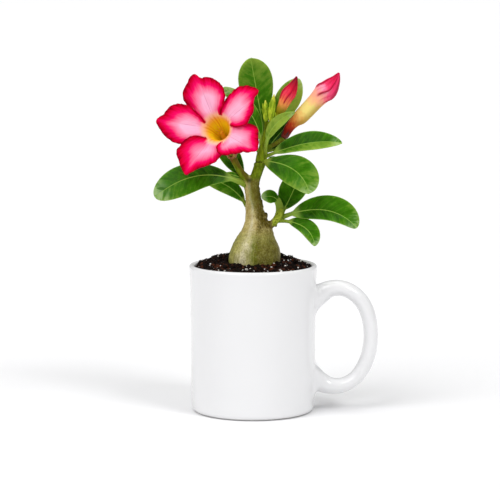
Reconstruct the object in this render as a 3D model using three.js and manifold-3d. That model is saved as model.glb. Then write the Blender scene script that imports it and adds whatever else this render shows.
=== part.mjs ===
// A potted desert rose: an adenium with a swollen stem, growing in a plain white mug.
//
// Millimetres, +Z up. +X points along the mug's handle and the plant is looked at from -Y.
// While it is built, the mug's axis is x = y = 0 and its foot stands at z = 0. The last lines
// shift the group so that its origin lies at the middle of its base.

import * as THREE from 'three';
import * as BufferGeometryUtils from 'three/addons/utils/BufferGeometryUtils.js';
import Module from 'manifold-3d';

const wasm = await Module();
wasm.setup();

// ---------------------------------------------------------------- driving dimensions

const GAP = 0.3; // clearance between pieces that touch

const MUG = {
  height: 95,
  rimRadius: 41.2,
  heelRadius: 39.5,
  side: [[20.9, 40.1], [57, 40.3], [81.7, 40.6]], // height and outer radius, between heel and rim
  wall: 3.5,
  floor: 6,
  lipRadius: 1.7,
  heelRound: 3.2,
  innerRound: 6,
  footInner: 33.4,
  footOuter: 36.4,
  footBevel: 1,
  footRecess: 1.6,
  segments: 40,
};

// Handle: centre line in the XZ plane with the half thickness seen from the front, then half width.
const HANDLE = {
  path: [
    [37.5, 73.2, 8.0], [43.5, 75.8, 6.6], [49.5, 79.2, 5.4], [58, 79.4, 5.0], [66, 75.3, 4.9],
    [72.6, 66.8, 4.8], [75.9, 54, 4.7], [75.5, 40, 4.7], [71.3, 27.6, 4.6], [64.5, 19.2, 4.6],
    [56, 15.5, 4.9], [48.8, 16, 5.5], [43.5, 18.2, 6.5], [37.5, 20.8, 8.4],
  ],
  halfWidth: 6.2,
  flare: 1.2, // how much wider it is where it meets the wall
  flarePower: 6,
  steps: 24,
  sides: 12,
};

const SOIL = {
  edge: 92.6, // height at the wall
  crown: 97.2, // height at the foot of the stem
  slopeFrom: 37, // radius at which the mound starts
  slopeTo: 16, // radius at which it is full
  backRise: 2.2, // extra height behind the stem
  backReach: 30,
  clod: 1.1, // height of the clods
  clodSize: 3.1,
  crumb: 0.6, // height of the crumbs on them, as a share
  crumbSize: 1.7,
  calmEdge: 0.3, // how much of the relief is left at the wall
  calmWidth: 4,
  rings: 11,
  segments: 50,
};

// Swollen base and neck: height, centre x, radius.
const CAUDEX = [
  [81, 0.5, 5], [85, 0.5, 10], [90, 0.6, 14.5], [95, 0.7, 16.3], [100.5, 0.8, 16.4],
  [106, 1.2, 15.2], [110.4, 1.4, 13.4], [114.3, 2.0, 11.4], [118.2, 2.6, 9.6], [122.1, 2.3, 7.7],
  [127, 1.6, 6.5], [133, 0.8, 5.8], [139, 0.0, 5.1], [144, -0.8, 4.9], [148, -1.3, 4.4],
];
const CAUDEX_SIDES = 20;
// The swollen part is a little oval and ridged: this much of its radius, fading in over these radii.
const SWELL = { oval: 0.035, ridge: 0.03, ridges: 5, turn: 0.6, fromRadius: 5, toRadius: 17 };
const LIMB = {
  tip: 0.35, // how far a limb's blunt end stands out, as a share of its radius
  sides: 10,
  slimSides: 8,
  slimRadius: 2,
  stepsPerPoint: 1.5,
};

// Limbs that grow out of the neck: points [x, y, z, radius].
const LIMBS = {
  leftBranch: [
    [-1.2, 0, 142, 3.9], [-3.4, 0, 148.8, 3.5], [-7.4, -0.4, 153.8, 2.8], [-10.6, -1, 159.3, 2.6],
    [-12.8, -2, 164, 2.5],
  ],
  rightBranch: [
    [-0.8, 0, 142, 4.2], [1, 0, 149.5, 3.5], [2.8, 0, 155, 3.15], [4.8, 0, 161, 3.3],
    [5.8, 0, 166, 3.3], [6.8, 0, 171.5, 2.9], [7.8, 0, 177, 2.5], [8.2, 0, 181, 1.6],
  ],
  shootCollar: [[3, -1, 118.5, 4.4], [9.4, -2.6, 120.4, 3.2], [12.2, -2.6, 121.4, 2.6]],
  shoot: [
    [10.5, -2.6, 121, 2.2], [14.6, -2.2, 123.6, 2.4], [17.4, -1.2, 127.6, 2.2],
    [18.8, -0.5, 130.8, 1.5],
  ],
  oldScar: [[4, -1, 124.5, 2.4], [8.6, -2, 126.6, 1.9], [9.8, -2.2, 128.4, 0.9]],
  largeBudStalk: [[6.6, 0, 168, 1.7], [12, 2, 171.4, 1.5], [17.6, 3.8, 174.2, 1.8], [19.4, 4, 175.6, 1.9]],
  redBudStalk: [[8, 0, 178, 1.5], [11.6, 0.4, 182.6, 1.3], [14.6, 0.2, 187, 1.6]],
  greenStalkLeft: [[8, -0.4, 179, 1.2], [8.3, -1, 184, 0.9], [8.2, -1, 187, 1.0]],
  greenStalkRight: [[8.4, -0.4, 179, 1.2], [10.2, -1.4, 184, 1.0], [11, -1.4, 187.4, 1.2]],
};

// Leaves: base, middle and tip of the midrib, the way the upper face looks, half widths to the left
// and right of the midrib, fold in degrees, place of the widest point, length of the stalk as a
// share of the leaf, and bluntness (less is blunter).
const LEAVES = {
  top: {
    base: [7.6, 1.4, 176.5], mid: [2.5, 7, 202.3], tip: [-2, 4, 227.4], face: [0.1, -1, 0.1],
    left: 9.8, right: 12.2, fold: 6, peak: 0.7, stalk: 0.1, blunt: 0.5,
  },
  top_right: {
    base: [8.6, 1.4, 174.5], mid: [20.6, 9, 196], tip: [30, 8, 213.4], face: [-0.3, -1, 0.3],
    left: 9, right: 8.2, fold: 12, peak: 0.62, stalk: 0.12, blunt: 0.55,
  },
  behind_bloom: {
    base: [5.4, -1, 171], mid: [-1.4, 0.6, 191.5], tip: [-19, 3, 208.6], face: [0, -1, 0.45],
    left: 5.5, right: 5.5, fold: 15, peak: 0.6, stalk: 0.1, blunt: 0.55,
  },
  young_front: {
    base: [7.6, -2, 166], mid: [12.6, -7, 183.6], tip: [26.5, -9, 193.3], face: [-0.5, -0.75, -0.55],
    left: 3.4, right: 4, fold: 20, peak: 0.5, stalk: 0.05, blunt: 0.6,
  },
  shade: {
    base: [7, 1.8, 166], mid: [17.6, 12, 179], tip: [28.3, 16, 189.1], face: [-0.3, -1, 0.5],
    left: 5.6, right: 5.6, fold: 15, peak: 0.58, stalk: 0.08, blunt: 0.55,
  },
  right_upper: {
    base: [7, 0.4, 165.2], mid: [33, -4, 173.1], tip: [56.4, -8, 173.9], face: [0, -0.75, 0.65],
    left: 7.6, right: 4.8, fold: 20, peak: 0.6, stalk: 0.14, blunt: 0.55,
  },
  right_front: {
    base: [6.2, -2.4, 161.8], mid: [26.2, -12, 156.7], tip: [35.6, -16, 142.4], face: [0.25, -1, 0.45],
    left: 11.6, right: 10.2, fold: 6, peak: 0.56, stalk: 0.03, blunt: 0.5,
  },
  left_long: {
    base: [-4.6, -2, 146.4], mid: [-33.8, -9, 153.2], tip: [-61.6, -12, 139.4], face: [-0.15, -0.85, 0.55],
    left: 10, right: 9.4, fold: -4, peak: 0.69, stalk: 0.14, blunt: 0.42,
  },
  left_small: {
    base: [-6.2, -0.6, 150.4], mid: [-13.2, -1.5, 152.8], tip: [-18.7, -1, 153.2], face: [0.2, -0.8, 0.3],
    left: 2, right: 2, fold: 15, peak: 0.5, stalk: 0.05, blunt: 0.6,
  },
  left_low: {
    base: [-4, 1.6, 132.6], mid: [-16.1, 5, 144.9], tip: [-32.9, 7, 150.1], face: [-0.2, -1, 0.35],
    left: 4.6, right: 6.2, fold: 6, peak: 0.55, stalk: 0.08, blunt: 0.5,
  },
  left_back: {
    base: [-5.6, 2, 150.4], mid: [-15.5, 8, 164.2], tip: [-25.2, 10, 179.5], face: [0.1, -1, 0.3],
    left: 8.6, right: 7.4, fold: 6, peak: 0.5, stalk: 0.06, blunt: 0.55,
  },
  shoot_small: {
    base: [17, -1.4, 127], mid: [14.3, -3, 138.2], tip: [5.3, -5, 139.7], face: [0.35, -0.7, 0.8],
    left: 3.6, right: 3.6, fold: 10, peak: 0.62, stalk: 0.05, blunt: 0.55,
  },
  shoot_up: {
    base: [18.2, 0.4, 127.5], mid: [26.3, 4, 140.1], tip: [32.1, 6, 156.7], face: [-0.1, -1, 0.2],
    left: 8.8, right: 8.8, fold: 6, peak: 0.5, stalk: 0.1, blunt: 0.55,
  },
  shoot_right: {
    base: [17, -1, 125.4], mid: [44.7, -4, 131.2], tip: [66.5, -5, 118.8], face: [0, -0.9, 0.45],
    left: 10.2, right: 6.4, fold: 8, peak: 0.64, stalk: 0.14, blunt: 0.5,
  },
  shoot_low: {
    base: [16, -2.4, 123.6], mid: [32.5, -7, 119.7], tip: [39.5, -9, 108], face: [0.3, -0.9, 0.35],
    left: 6.8, right: 3.6, fold: 10, peak: 0.6, stalk: 0.16, blunt: 0.55,
  },
  back_left: {
    base: [5, 2, 165], mid: [-8, 20, 178], tip: [-22, 34, 175], face: [-0.2, 0.4, 1],
    left: 7.5, right: 7.5, fold: 12, peak: 0.6, stalk: 0.12, blunt: 0.55,
  },
  back_right: {
    base: [5.4, 2, 160], mid: [20, 20, 161], tip: [31, 33, 150], face: [0.3, 0.4, 1],
    left: 7.5, right: 7.5, fold: 12, peak: 0.6, stalk: 0.12, blunt: 0.55,
  },
  back_top: {
    base: [7.2, 1.8, 170], mid: [4.5, 17, 197], tip: [1, 24, 219], face: [0, 1, 0.3],
    left: 7.5, right: 7.5, fold: 12, peak: 0.64, stalk: 0.12, blunt: 0.55,
  },
};
const LEAF = {
  thickness: 0.8,
  stalkHalfWidth: 1.1,
  stalkThickness: 1.5,
  stalkBlend: 0.15, // how far along the leaf the stalk turns into the blade
  tipTaper: 0.08, // how far from its end the leaf starts to close
  tipWidth: 0.3, // how wide its end stays, as a share of the stalk's width
  wave: 0.45, // height of the waves along its edge
  waveRate: 9,
  waveLean: 2,
  phaseStep: 1.3, // from one leaf to the next
  rows: 10,
  columns: 4,
};

// Bloom: the throat's middle, the way it faces, and the five lobes of the corolla. A lobe's outline is
// an ellipse in the plane of the bloom with a small cusp at its end, blended into the throat's rim.
const BLOOM = {
  centre: [-23.2, -26, 184.4],
  facing: [-0.3, -0.92, 0.22],
  tubeBend: 14,
  tubeRadii: [2.2, 2.5, 3.5, 5.0, 6.4, 7.6, 8.6, 9.5],
  tubeFloor: 0.12, // where the tube's hollow starts, as a share of its length
  tubeSteps: 7,
  throatRadius: 9.3,
  lobeRoot: 8.6, // radius at which the lobes start, inside the tube's wall
  wall: 0.8,
  cup: 6.5, // how far the lobes' tips stand forward of the throat
  cupLength: 28,
  tilt: 0.16, // overlap of the lobes, like a pinwheel
  wave: 0.5,
  waveRate: 3.4,
  phaseStep: 1.7, // from one lobe to the next
  sweep: 155, // degrees of the ellipse to each side of a lobe's tip
  notchFrom: 0.75, // where the outline starts to turn to the notch between two lobes
  cuspWidth: 0.3,
  segments: 16,
};
// angle, distance of the ellipse's middle, half length, half width ahead and behind, cusp
const LOBES = [
  { angle: 112, reach: 20.5, long: 12.5, ahead: 14, behind: 13.5, cusp: 1.8 },
  { angle: 175, reach: 22.5, long: 13.5, ahead: 12, behind: 11.5, cusp: 2.2 },
  { angle: 241, reach: 20, long: 12, ahead: 13, behind: 12, cusp: 2.2 },
  { angle: -27, reach: 19.5, long: 12, ahead: 13, behind: 8.8, cusp: 1.7 },
  { angle: 36, reach: 20.8, long: 12.5, ahead: 13.2, behind: 12, cusp: 2.2 },
];
const LOBE_COLUMNS = 14;
const LOBE_ROWS = 4;

// Buds: points [x, y, z, radius] along the middle, with a twisted five-ridged section.
const BUDS = {
  bud_large: {
    path: [
      [20.8, 4, 177.4, 1.8], [22.5, 4, 179.5, 2.3], [26.8, 4, 184.1, 3.2], [32.7, 4, 190.5, 4.3],
      [38.2, 4, 196.2, 5.3], [43.2, 4, 201.7, 6.1], [47, 4, 205.9, 6.3], [49.8, 4, 209.3, 5.5],
      [52.5, 4, 213.2, 3.8], [54.8, 4, 216.4, 2.1], [56, 4, 217.9, 0.6],
    ],
    sides: 15, ridge: 0.12, twist: 1.5, twistFrom: 0.6,
  },
  bud_red: {
    path: [
      [15, 0, 187.8, 1.6], [16.5, 0, 192.4, 2.6], [18.4, 0, 196.9, 3.3], [21, 0, 201, 4],
      [23.2, 0, 204.5, 4.4], [25.1, 0, 208, 4], [26.7, 0, 211.2, 2.8], [27.9, 0, 214.4, 1.4],
      [28.3, 0, 215.8, 0.5],
    ],
    sides: 15, ridge: 0.12, twist: 1.5, twistFrom: 0.45,
  },
  bud_green_left: {
    path: [[8.2, -1, 187.6, 1.1], [7.9, -1, 191.2, 1.6], [7.8, -1, 195.7, 1.4], [7.8, -1, 199.8, 0.4]],
    sides: 8, ridge: 0, twist: 0, twistFrom: 0,
  },
  bud_green_right: {
    path: [
      [11.2, -1.4, 188, 1.3], [11.5, -1.4, 192.5, 2.1], [12.3, -1.4, 198.2, 1.9],
      [13.2, -1.4, 203.4, 0.4],
    ],
    sides: 8, ridge: 0, twist: 0, twistFrom: 0,
  },
};

// Cups round the feet of the bloom and the large bud, with five pointed sepals.
const CALYX = {
  wall: 0.8,
  floor: 0.8,
  cup: 1.8, // height of the closed part
  rim: 0.3,
  tooth: 3.2,
  toothPower: 1.5,
  flare: 0.5,
  sides: 15,
  bloomFoot: 2.7, // radius where it stands on the stalk
  budFoot: 2.2,
};

// ---------------------------------------------------------------- colours

const finish = (color, roughness) => new THREE.MeshStandardMaterial({ color, roughness, metalness: 0 });
const COLOURS = {
  ceramic: finish(0xf2f2f0, 0.12),
  soil: finish(0x2a1c14, 0.95),
  bark: finish(0x8f8a5c, 0.7),
  leaf: finish(0x3f7a1f, 0.45),
  youngLeaf: finish(0x8fae3c, 0.5),
  petal: finish(0xe8457f, 0.5),
  bud: finish(0xd9405a, 0.5),
  greenBud: finish(0x9fb83a, 0.5),
  calyx: finish(0x6d4a26, 0.6),
};

// ---------------------------------------------------------------- small helpers

const vector = (p) => new THREE.Vector3(p[0], p[1], p[2]);
const mix = (a, b, t) => a + (b - a) * t;
const clamp = (x, low, high) => Math.min(Math.max(x, low), high);
const smooth = (x) => x * x * (3 - 2 * x);

// A list sampled at t from 0 to 1, with straight lines between its values.
function sample(list, t) {
  const place = clamp(t, 0, 1) * (list.length - 1);
  const i = Math.min(Math.floor(place), list.length - 2);
  return mix(list[i], list[i + 1], place - i);
}

// A closed mesh from points and triangles, with its faces pointing out.
function closedGeometry(points, triangles) {
  let volume = 0;
  for (const [a, b, c] of triangles) {
    volume += points[a].dot(points[b].clone().cross(points[c]));
  }
  const index = triangles.flatMap(([a, b, c]) => (volume > 0 ? [a, b, c] : [a, c, b]));
  const geometry = new THREE.BufferGeometry();
  geometry.setAttribute('position', new THREE.Float32BufferAttribute(points.flatMap((p) => p.toArray()), 3));
  geometry.setIndex(index);
  return geometry;
}

// Skin over a row of rings with equally many points, closed at both ends by a fan.
function loft(rings, startPoint, endPoint) {
  const count = rings[0].length;
  const points = rings.flat();
  const middle = (ring) => ring.reduce((sum, p) => sum.add(p), new THREE.Vector3()).divideScalar(count);
  const start = points.push(startPoint ?? middle(rings[0])) - 1;
  const end = points.push(endPoint ?? middle(rings.at(-1))) - 1;
  const last = (rings.length - 1) * count;
  const triangles = [];
  for (let i = 0; i < count; i += 1) {
    const next = (i + 1) % count;
    triangles.push([start, next, i]);
    triangles.push([end, last + i, last + next]);
    for (let row = 0; row < last; row += count) {
      triangles.push([row + i, row + next, row + count + next]);
      triangles.push([row + i, row + count + next, row + count + i]);
    }
  }
  return closedGeometry(points, triangles);
}

// Skin of even thickness between two grids of points, both split along the same diagonals.
function slab(front, back) {
  const rows = front.length;
  const columns = front[0].length;
  const points = [...front.flat(), ...back.flat()];
  const offset = rows * columns;
  const at = (row, column) => row * columns + column;
  const triangles = [];
  for (let row = 0; row + 1 < rows; row += 1) {
    for (let column = 0; column + 1 < columns; column += 1) {
      const a = at(row, column);
      const b = at(row, column + 1);
      const c = at(row + 1, column + 1);
      const d = at(row + 1, column);
      triangles.push([a, b, c], [a, c, d]);
      triangles.push([offset + a, offset + c, offset + b], [offset + a, offset + d, offset + c]);
    }
  }
  const rim = [];
  for (let column = 0; column < columns; column += 1) rim.push(at(0, column));
  for (let row = 1; row < rows; row += 1) rim.push(at(row, columns - 1));
  for (let column = columns - 2; column >= 0; column -= 1) rim.push(at(rows - 1, column));
  for (let row = rows - 2; row > 0; row -= 1) rim.push(at(row, 0));
  rim.forEach((a, i) => {
    const b = rim[(i + 1) % rim.length];
    triangles.push([a, offset + a, offset + b], [a, offset + b, b]);
  });
  return closedGeometry(points, triangles);
}

function toSolid(geometry) {
  const bare = geometry.clone();
  bare.deleteAttribute('normal');
  bare.deleteAttribute('uv');
  const merged = BufferGeometryUtils.mergeVertices(bare, 1e-4);
  const triVerts = [];
  for (let i = 0; i < merged.index.count; i += 3) {
    const [a, b, c] = [0, 1, 2].map((k) => merged.index.getX(i + k));
    if (a !== b && b !== c && c !== a) triVerts.push(a, b, c);
  }
  return new wasm.Manifold(new wasm.Mesh({
    numProp: 3,
    vertProperties: Float32Array.from(merged.attributes.position.array),
    triVerts: Uint32Array.from(triVerts),
  }));
}

function fromSolid(solid) {
  const mesh = solid.getMesh();
  const geometry = new THREE.BufferGeometry();
  geometry.setAttribute('position', new THREE.BufferAttribute(mesh.vertProperties, 3));
  geometry.setIndex(new THREE.BufferAttribute(mesh.triVerts, 1));
  return geometry;
}

const union = (solids) => solids.reduce((sum, solid) => sum.add(solid));

// Repeatable noise between -1 and 1, smooth over a unit grid.
function noise(x, y) {
  const hash = (i, j) => {
    const s = Math.sin(i * 127.1 + j * 311.7) * 43758.5453;
    return 2 * (s - Math.floor(s)) - 1;
  };
  const i = Math.floor(x);
  const j = Math.floor(y);
  const u = smooth(x - i);
  const v = smooth(y - j);
  return mix(mix(hash(i, j), hash(i + 1, j), u), mix(hash(i, j + 1), hash(i + 1, j + 1), u), v);
}

// ---------------------------------------------------------------- mug

const arc = (x, y, radius, from, to, steps) => Array.from({ length: steps + 1 }, (_, i) => {
  const angle = THREE.MathUtils.degToRad(mix(from, to, i / steps));
  return new THREE.Vector2(x + radius * Math.cos(angle), y + radius * Math.sin(angle));
});

// Inside of the mug from its floor to its lip, drawn in by a clearance for what fills it.
function cavityProfile(clearance, top) {
  const round = MUG.innerRound - clearance;
  const low = MUG.heelRadius - MUG.wall;
  const [middleHeight, middleRadius] = MUG.side[1];
  return [
    new THREE.Vector2(0, MUG.floor + clearance),
    ...arc(low - MUG.innerRound, MUG.floor + MUG.innerRound, round, -90, 0, 4),
    new THREE.Vector2(middleRadius - MUG.wall - clearance, middleHeight),
    new THREE.Vector2(MUG.rimRadius - MUG.wall - clearance, top),
  ];
}

function latheSolid(profile, segments) {
  const geometry = new THREE.LatheGeometry(profile, segments);
  geometry.rotateX(Math.PI / 2);
  const points = [];
  const position = geometry.attributes.position;
  for (let i = 0; i < position.count; i += 1) {
    points.push(new THREE.Vector3().fromBufferAttribute(position, i));
  }
  const triangles = [];
  for (let i = 0; i < geometry.index.count; i += 3) {
    triangles.push([0, 1, 2].map((k) => geometry.index.getX(i + k)));
  }
  return toSolid(closedGeometry(points, triangles));
}

function handleSolid() {
  const nodes = HANDLE.path.map(([x, z]) => new THREE.Vector3(x, 0, z));
  const curve = new THREE.CatmullRomCurve3(nodes, false, 'centripetal');
  const halves = HANDLE.path.map((p) => p[2]);
  const rings = [];
  for (let step = 0; step <= HANDLE.steps; step += 1) {
    const t = step / HANDLE.steps;
    const middle = curve.getPoint(t);
    const along = curve.getTangent(t);
    const across = new THREE.Vector3(along.z, 0, -along.x);
    const half = sample(halves, t);
    const halfWidth = HANDLE.halfWidth + HANDLE.flare * (Math.abs(2 * t - 1) ** HANDLE.flarePower);
    rings.push(Array.from({ length: HANDLE.sides }, (_, i) => {
      const angle = (2 * Math.PI * i) / HANDLE.sides;
      return middle.clone()
        .addScaledVector(across, half * Math.cos(angle))
        .add(new THREE.Vector3(0, halfWidth * Math.sin(angle), 0));
    }));
  }
  return toSolid(loft(rings));
}

function mugSolid() {
  const outside = [
    new THREE.Vector2(0, MUG.footRecess),
    new THREE.Vector2(MUG.footInner - MUG.footBevel, MUG.footRecess),
    new THREE.Vector2(MUG.footInner, 0),
    new THREE.Vector2(MUG.footOuter, 0),
    ...arc(MUG.heelRadius - MUG.heelRound, MUG.heelRound, MUG.heelRound, -75, 0, 3),
    ...MUG.side.map(([height, radius]) => new THREE.Vector2(radius, height)),
    ...arc(MUG.rimRadius - MUG.lipRadius, MUG.height - MUG.lipRadius, MUG.lipRadius, 0, 180, 6),
    new THREE.Vector2(0, MUG.height - MUG.lipRadius),
  ];
  const above = MUG.height + MUG.wall;
  const cavity = [...cavityProfile(0, above), new THREE.Vector2(0, above)];
  return latheSolid(outside, MUG.segments)
    .add(handleSolid())
    .subtract(latheSolid(cavity, MUG.segments));
}

// ---------------------------------------------------------------- trunk

// One ring of the swollen base: nearly round, with soft lobes that fade up the neck.
function caudexRing([z, x, radius], grow) {
  const swell = clamp((radius - SWELL.fromRadius) / (SWELL.toRadius - SWELL.fromRadius), 0, 1);
  return Array.from({ length: CAUDEX_SIDES }, (_, i) => {
    const angle = (2 * Math.PI * i) / CAUDEX_SIDES;
    const ridge = SWELL.ridge * Math.cos(SWELL.ridges * angle + SWELL.turn);
    const r = radius * (1 + swell * (SWELL.oval * Math.cos(2 * angle) + ridge)) + grow;
    return new THREE.Vector3(x + r * Math.cos(angle), r * Math.sin(angle), z);
  });
}

function caudexSolid(grow) {
  const stations = CAUDEX.map(([z, x, radius], i) => {
    const end = (i === 0 ? -1 : 0) + (i === CAUDEX.length - 1 ? 1 : 0);
    return [z + end * grow, x, radius];
  });
  return toSolid(loft(stations.map((station) => caudexRing(station, grow))));
}

// A tapering limb through points [x, y, z, radius], its ends drawn in to blunt tips.
function limbSolid(points, grow) {
  const sides = points[0][3] > LIMB.slimRadius ? LIMB.sides : LIMB.slimSides;
  const curve = new THREE.CatmullRomCurve3(points.map(vector), false, 'centripetal');
  const radii = points.map((p) => p[3]);
  const steps = Math.round(points.length * LIMB.stepsPerPoint);
  const rings = [];
  for (let step = 0; step <= steps; step += 1) {
    const t = step / steps;
    const along = curve.getTangent(t);
    const across = new THREE.Vector3(0, 1, 0).cross(along).normalize();
    const other = along.clone().cross(across);
    const r = sample(radii, t) + grow;
    rings.push(Array.from({ length: sides }, (_, i) => {
      const angle = (2 * Math.PI * i) / sides;
      return curve.getPoint(t)
        .addScaledVector(across, r * Math.cos(angle))
        .addScaledVector(other, r * Math.sin(angle));
    }));
  }
  const start = curve.getPoint(0).addScaledVector(curve.getTangent(0), -LIMB.tip * radii[0] - grow);
  const end = curve.getPoint(1).addScaledVector(curve.getTangent(1), LIMB.tip * radii.at(-1) + grow);
  return toSolid(loft(rings, start, end));
}

const trunkSolid = (grow) => union([
  caudexSolid(grow),
  ...Object.values(LIMBS).map((points) => limbSolid(points, grow)),
]);

// ---------------------------------------------------------------- soil

function soilHeight(x, y) {
  const r = Math.hypot(x, y);
  const slope = smooth(clamp((SOIL.slopeFrom - r) / (SOIL.slopeFrom - SOIL.slopeTo), 0, 1));
  const back = SOIL.backRise * clamp(y / SOIL.backReach, 0, 1) * slope;
  const clods = noise(x / SOIL.clodSize, y / SOIL.clodSize);
  const crumbs = SOIL.crumb * noise(x / SOIL.crumbSize + SOIL.rings, y / SOIL.crumbSize);
  const calm = clamp((SOIL.slopeFrom - r) / SOIL.calmWidth, SOIL.calmEdge, 1);
  return mix(SOIL.edge, SOIL.crown, slope) + back + SOIL.clod * (clods + crumbs) * calm;
}

function soilSolid() {
  const side = cavityProfile(GAP, SOIL.edge).slice(1);
  const edgeRadius = side.at(-1).x;
  const rings = side.slice(0, -1).map((p) => Array.from({ length: SOIL.segments }, (_, i) => {
    const angle = (2 * Math.PI * i) / SOIL.segments;
    return new THREE.Vector3(p.x * Math.cos(angle), p.x * Math.sin(angle), p.y);
  }));
  for (let ring = 0; ring < SOIL.rings; ring += 1) {
    const radius = edgeRadius * (1 - ring / SOIL.rings);
    rings.push(Array.from({ length: SOIL.segments }, (_, i) => {
      const angle = (2 * Math.PI * i) / SOIL.segments;
      const [x, y] = [radius * Math.cos(angle), radius * Math.sin(angle)];
      return new THREE.Vector3(x, y, soilHeight(x, y));
    }));
  }
  const bottom = new THREE.Vector3(0, 0, MUG.floor + GAP);
  const plug = toSolid(loft(rings, bottom, new THREE.Vector3(0, 0, soilHeight(0, 0))));
  return plug.subtract(caudexSolid(GAP));
}

// ---------------------------------------------------------------- leaves

// Half width of a leaf along its midrib: a thin stalk, then a blade that is widest at its peak.
function bladeWidth(v, half, { peak, stalk, blunt }) {
  const t = clamp((v - stalk) / (1 - stalk), 0, 1);
  const power = Math.log(0.5) / Math.log((peak - stalk) / (1 - stalk));
  const blade = half * Math.max(Math.sin(Math.PI * t ** power), 0) ** blunt;
  return Math.max(blade, LEAF.stalkHalfWidth * clamp((1 - v) / LEAF.tipTaper, LEAF.tipWidth, 1));
}

function leafGeometry(leaf, phase) {
  const [base, mid, tip] = [leaf.base, leaf.mid, leaf.tip].map(vector);
  const control = mid.clone().multiplyScalar(2).addScaledVector(base, -0.5).addScaledVector(tip, -0.5);
  const midrib = new THREE.QuadraticBezierCurve3(base, control, tip);
  const fold = THREE.MathUtils.degToRad(leaf.fold);
  const faces = [[], []];
  for (let row = 0; row <= LEAF.rows; row += 1) {
    const v = row / LEAF.rows;
    const along = midrib.getTangent(v);
    const across = vector(leaf.face).cross(along).normalize();
    const normal = along.clone().cross(across);
    const blade = clamp((v - leaf.stalk) / LEAF.stalkBlend, 0, 1);
    const thickness = mix(LEAF.stalkThickness, LEAF.thickness, blade);
    const rows = [[], []];
    for (let column = 0; column <= LEAF.columns; column += 1) {
      const u = (2 * column) / LEAF.columns - 1;
      const d = u * bladeWidth(v, u > 0 ? leaf.left : leaf.right, leaf);
      const wave = LEAF.wave * u * u * blade * Math.sin(LEAF.waveRate * v + LEAF.waveLean * u + phase);
      const height = Math.tan(fold) * (Math.sqrt(d * d + 1) - 1) + wave;
      const point = midrib.getPoint(v)
        .addScaledVector(across, d * Math.cos(fold))
        .addScaledVector(normal, height);
      rows[0].push(point.clone().addScaledVector(normal, thickness / 2));
      rows[1].push(point.clone().addScaledVector(normal, -thickness / 2));
    }
    faces[0].push(rows[0]);
    faces[1].push(rows[1]);
  }
  return slab(faces[0], faces[1]);
}

// ---------------------------------------------------------------- bloom

// Axes of the bloom: right and up in its plane, and forward along the way it faces.
function bloomAxes() {
  const forward = vector(BLOOM.facing).normalize();
  const right = new THREE.Vector3(0, 0, 1).cross(forward).normalize();
  const up = forward.clone().cross(right);
  return { forward, right, up };
}

// Where a cup stands on the end of a limb, and the way it points.
function cupSeat(limb, towards) {
  const [x, y, z, radius] = limb.at(-1);
  const end = new THREE.Vector3(x, y, z);
  const along = towards.clone().sub(end).normalize();
  return { foot: end.addScaledVector(along, LIMB.tip * radius + GAP), along };
}

function bloomTube() {
  const { forward } = bloomAxes();
  const throat = vector(BLOOM.centre);
  const bend = throat.clone().addScaledVector(forward, -BLOOM.tubeBend);
  const { foot, along } = cupSeat(LIMBS.leftBranch, bend);
  const start = foot.addScaledVector(along, CALYX.floor + GAP);
  return new THREE.QuadraticBezierCurve3(start, bend, throat);
}

// Rings of the tube from a place along it to the throat, with its radius changed by a set amount.
function tubeRings(from, steps, grow) {
  const curve = bloomTube();
  return Array.from({ length: steps + 1 }, (_, step) => {
    const t = mix(from, 1, step / steps);
    const along = curve.getTangent(t);
    const across = new THREE.Vector3(0, 0, 1).cross(along).normalize();
    const other = along.clone().cross(across);
    const r = sample(BLOOM.tubeRadii, t) + grow;
    return Array.from({ length: BLOOM.segments }, (_corner, i) => {
      const angle = (2 * Math.PI * i) / BLOOM.segments;
      return curve.getPoint(t)
        .addScaledVector(across, r * Math.cos(angle))
        .addScaledVector(other, r * Math.sin(angle));
    });
  });
}

function lobeGeometry(lobe, phase) {
  const { forward, right, up } = bloomAxes();
  const half = Math.PI / 5;
  const turn = THREE.MathUtils.degToRad(lobe.angle);
  const root = BLOOM.lobeRoot;
  const faces = [[], []];
  for (let row = 0; row <= LOBE_ROWS; row += 1) {
    const v = row / LOBE_ROWS;
    const rows = [[], []];
    for (let column = 0; column <= LOBE_COLUMNS; column += 1) {
      const u = (2 * column) / LOBE_COLUMNS - 1;
      const phi = THREE.MathUtils.degToRad(BLOOM.sweep) * u;
      const long = lobe.long + lobe.cusp * Math.exp(-((phi / BLOOM.cuspWidth) ** 2));
      const blend = smooth(clamp((Math.abs(u) - BLOOM.notchFrom) / (1 - BLOOM.notchFrom), 0, 1));
      const notch = [BLOOM.throatRadius * Math.cos(half), BLOOM.throatRadius * Math.sin(half) * Math.sign(u)];
      const edge = [
        mix(lobe.reach + long * Math.cos(phi), notch[0], blend),
        mix((u > 0 ? lobe.ahead : lobe.behind) * Math.sin(phi), notch[1], blend),
      ];
      const along = mix(root * Math.cos(half * u), edge[0], v);
      const across = mix(root * Math.sin(half * u), edge[1], v);
      const rise = clamp((Math.hypot(along, across) - BLOOM.throatRadius) / BLOOM.cupLength, 0, 1);
      const height = BLOOM.cup * Math.sin((rise * Math.PI) / 2) - BLOOM.tilt * across * Math.sqrt(rise)
        + BLOOM.wave * v * v * Math.sin(BLOOM.waveRate * phi + phase);
      const point = vector(BLOOM.centre)
        .addScaledVector(right, along * Math.cos(turn) - across * Math.sin(turn))
        .addScaledVector(up, along * Math.sin(turn) + across * Math.cos(turn))
        .addScaledVector(forward, height);
      rows[0].push(point.clone().addScaledVector(forward, BLOOM.wall / 2));
      rows[1].push(point.clone().addScaledVector(forward, -BLOOM.wall / 2));
    }
    faces[0].push(rows[0]);
    faces[1].push(rows[1]);
  }
  return slab(faces[0], faces[1]);
}

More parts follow.
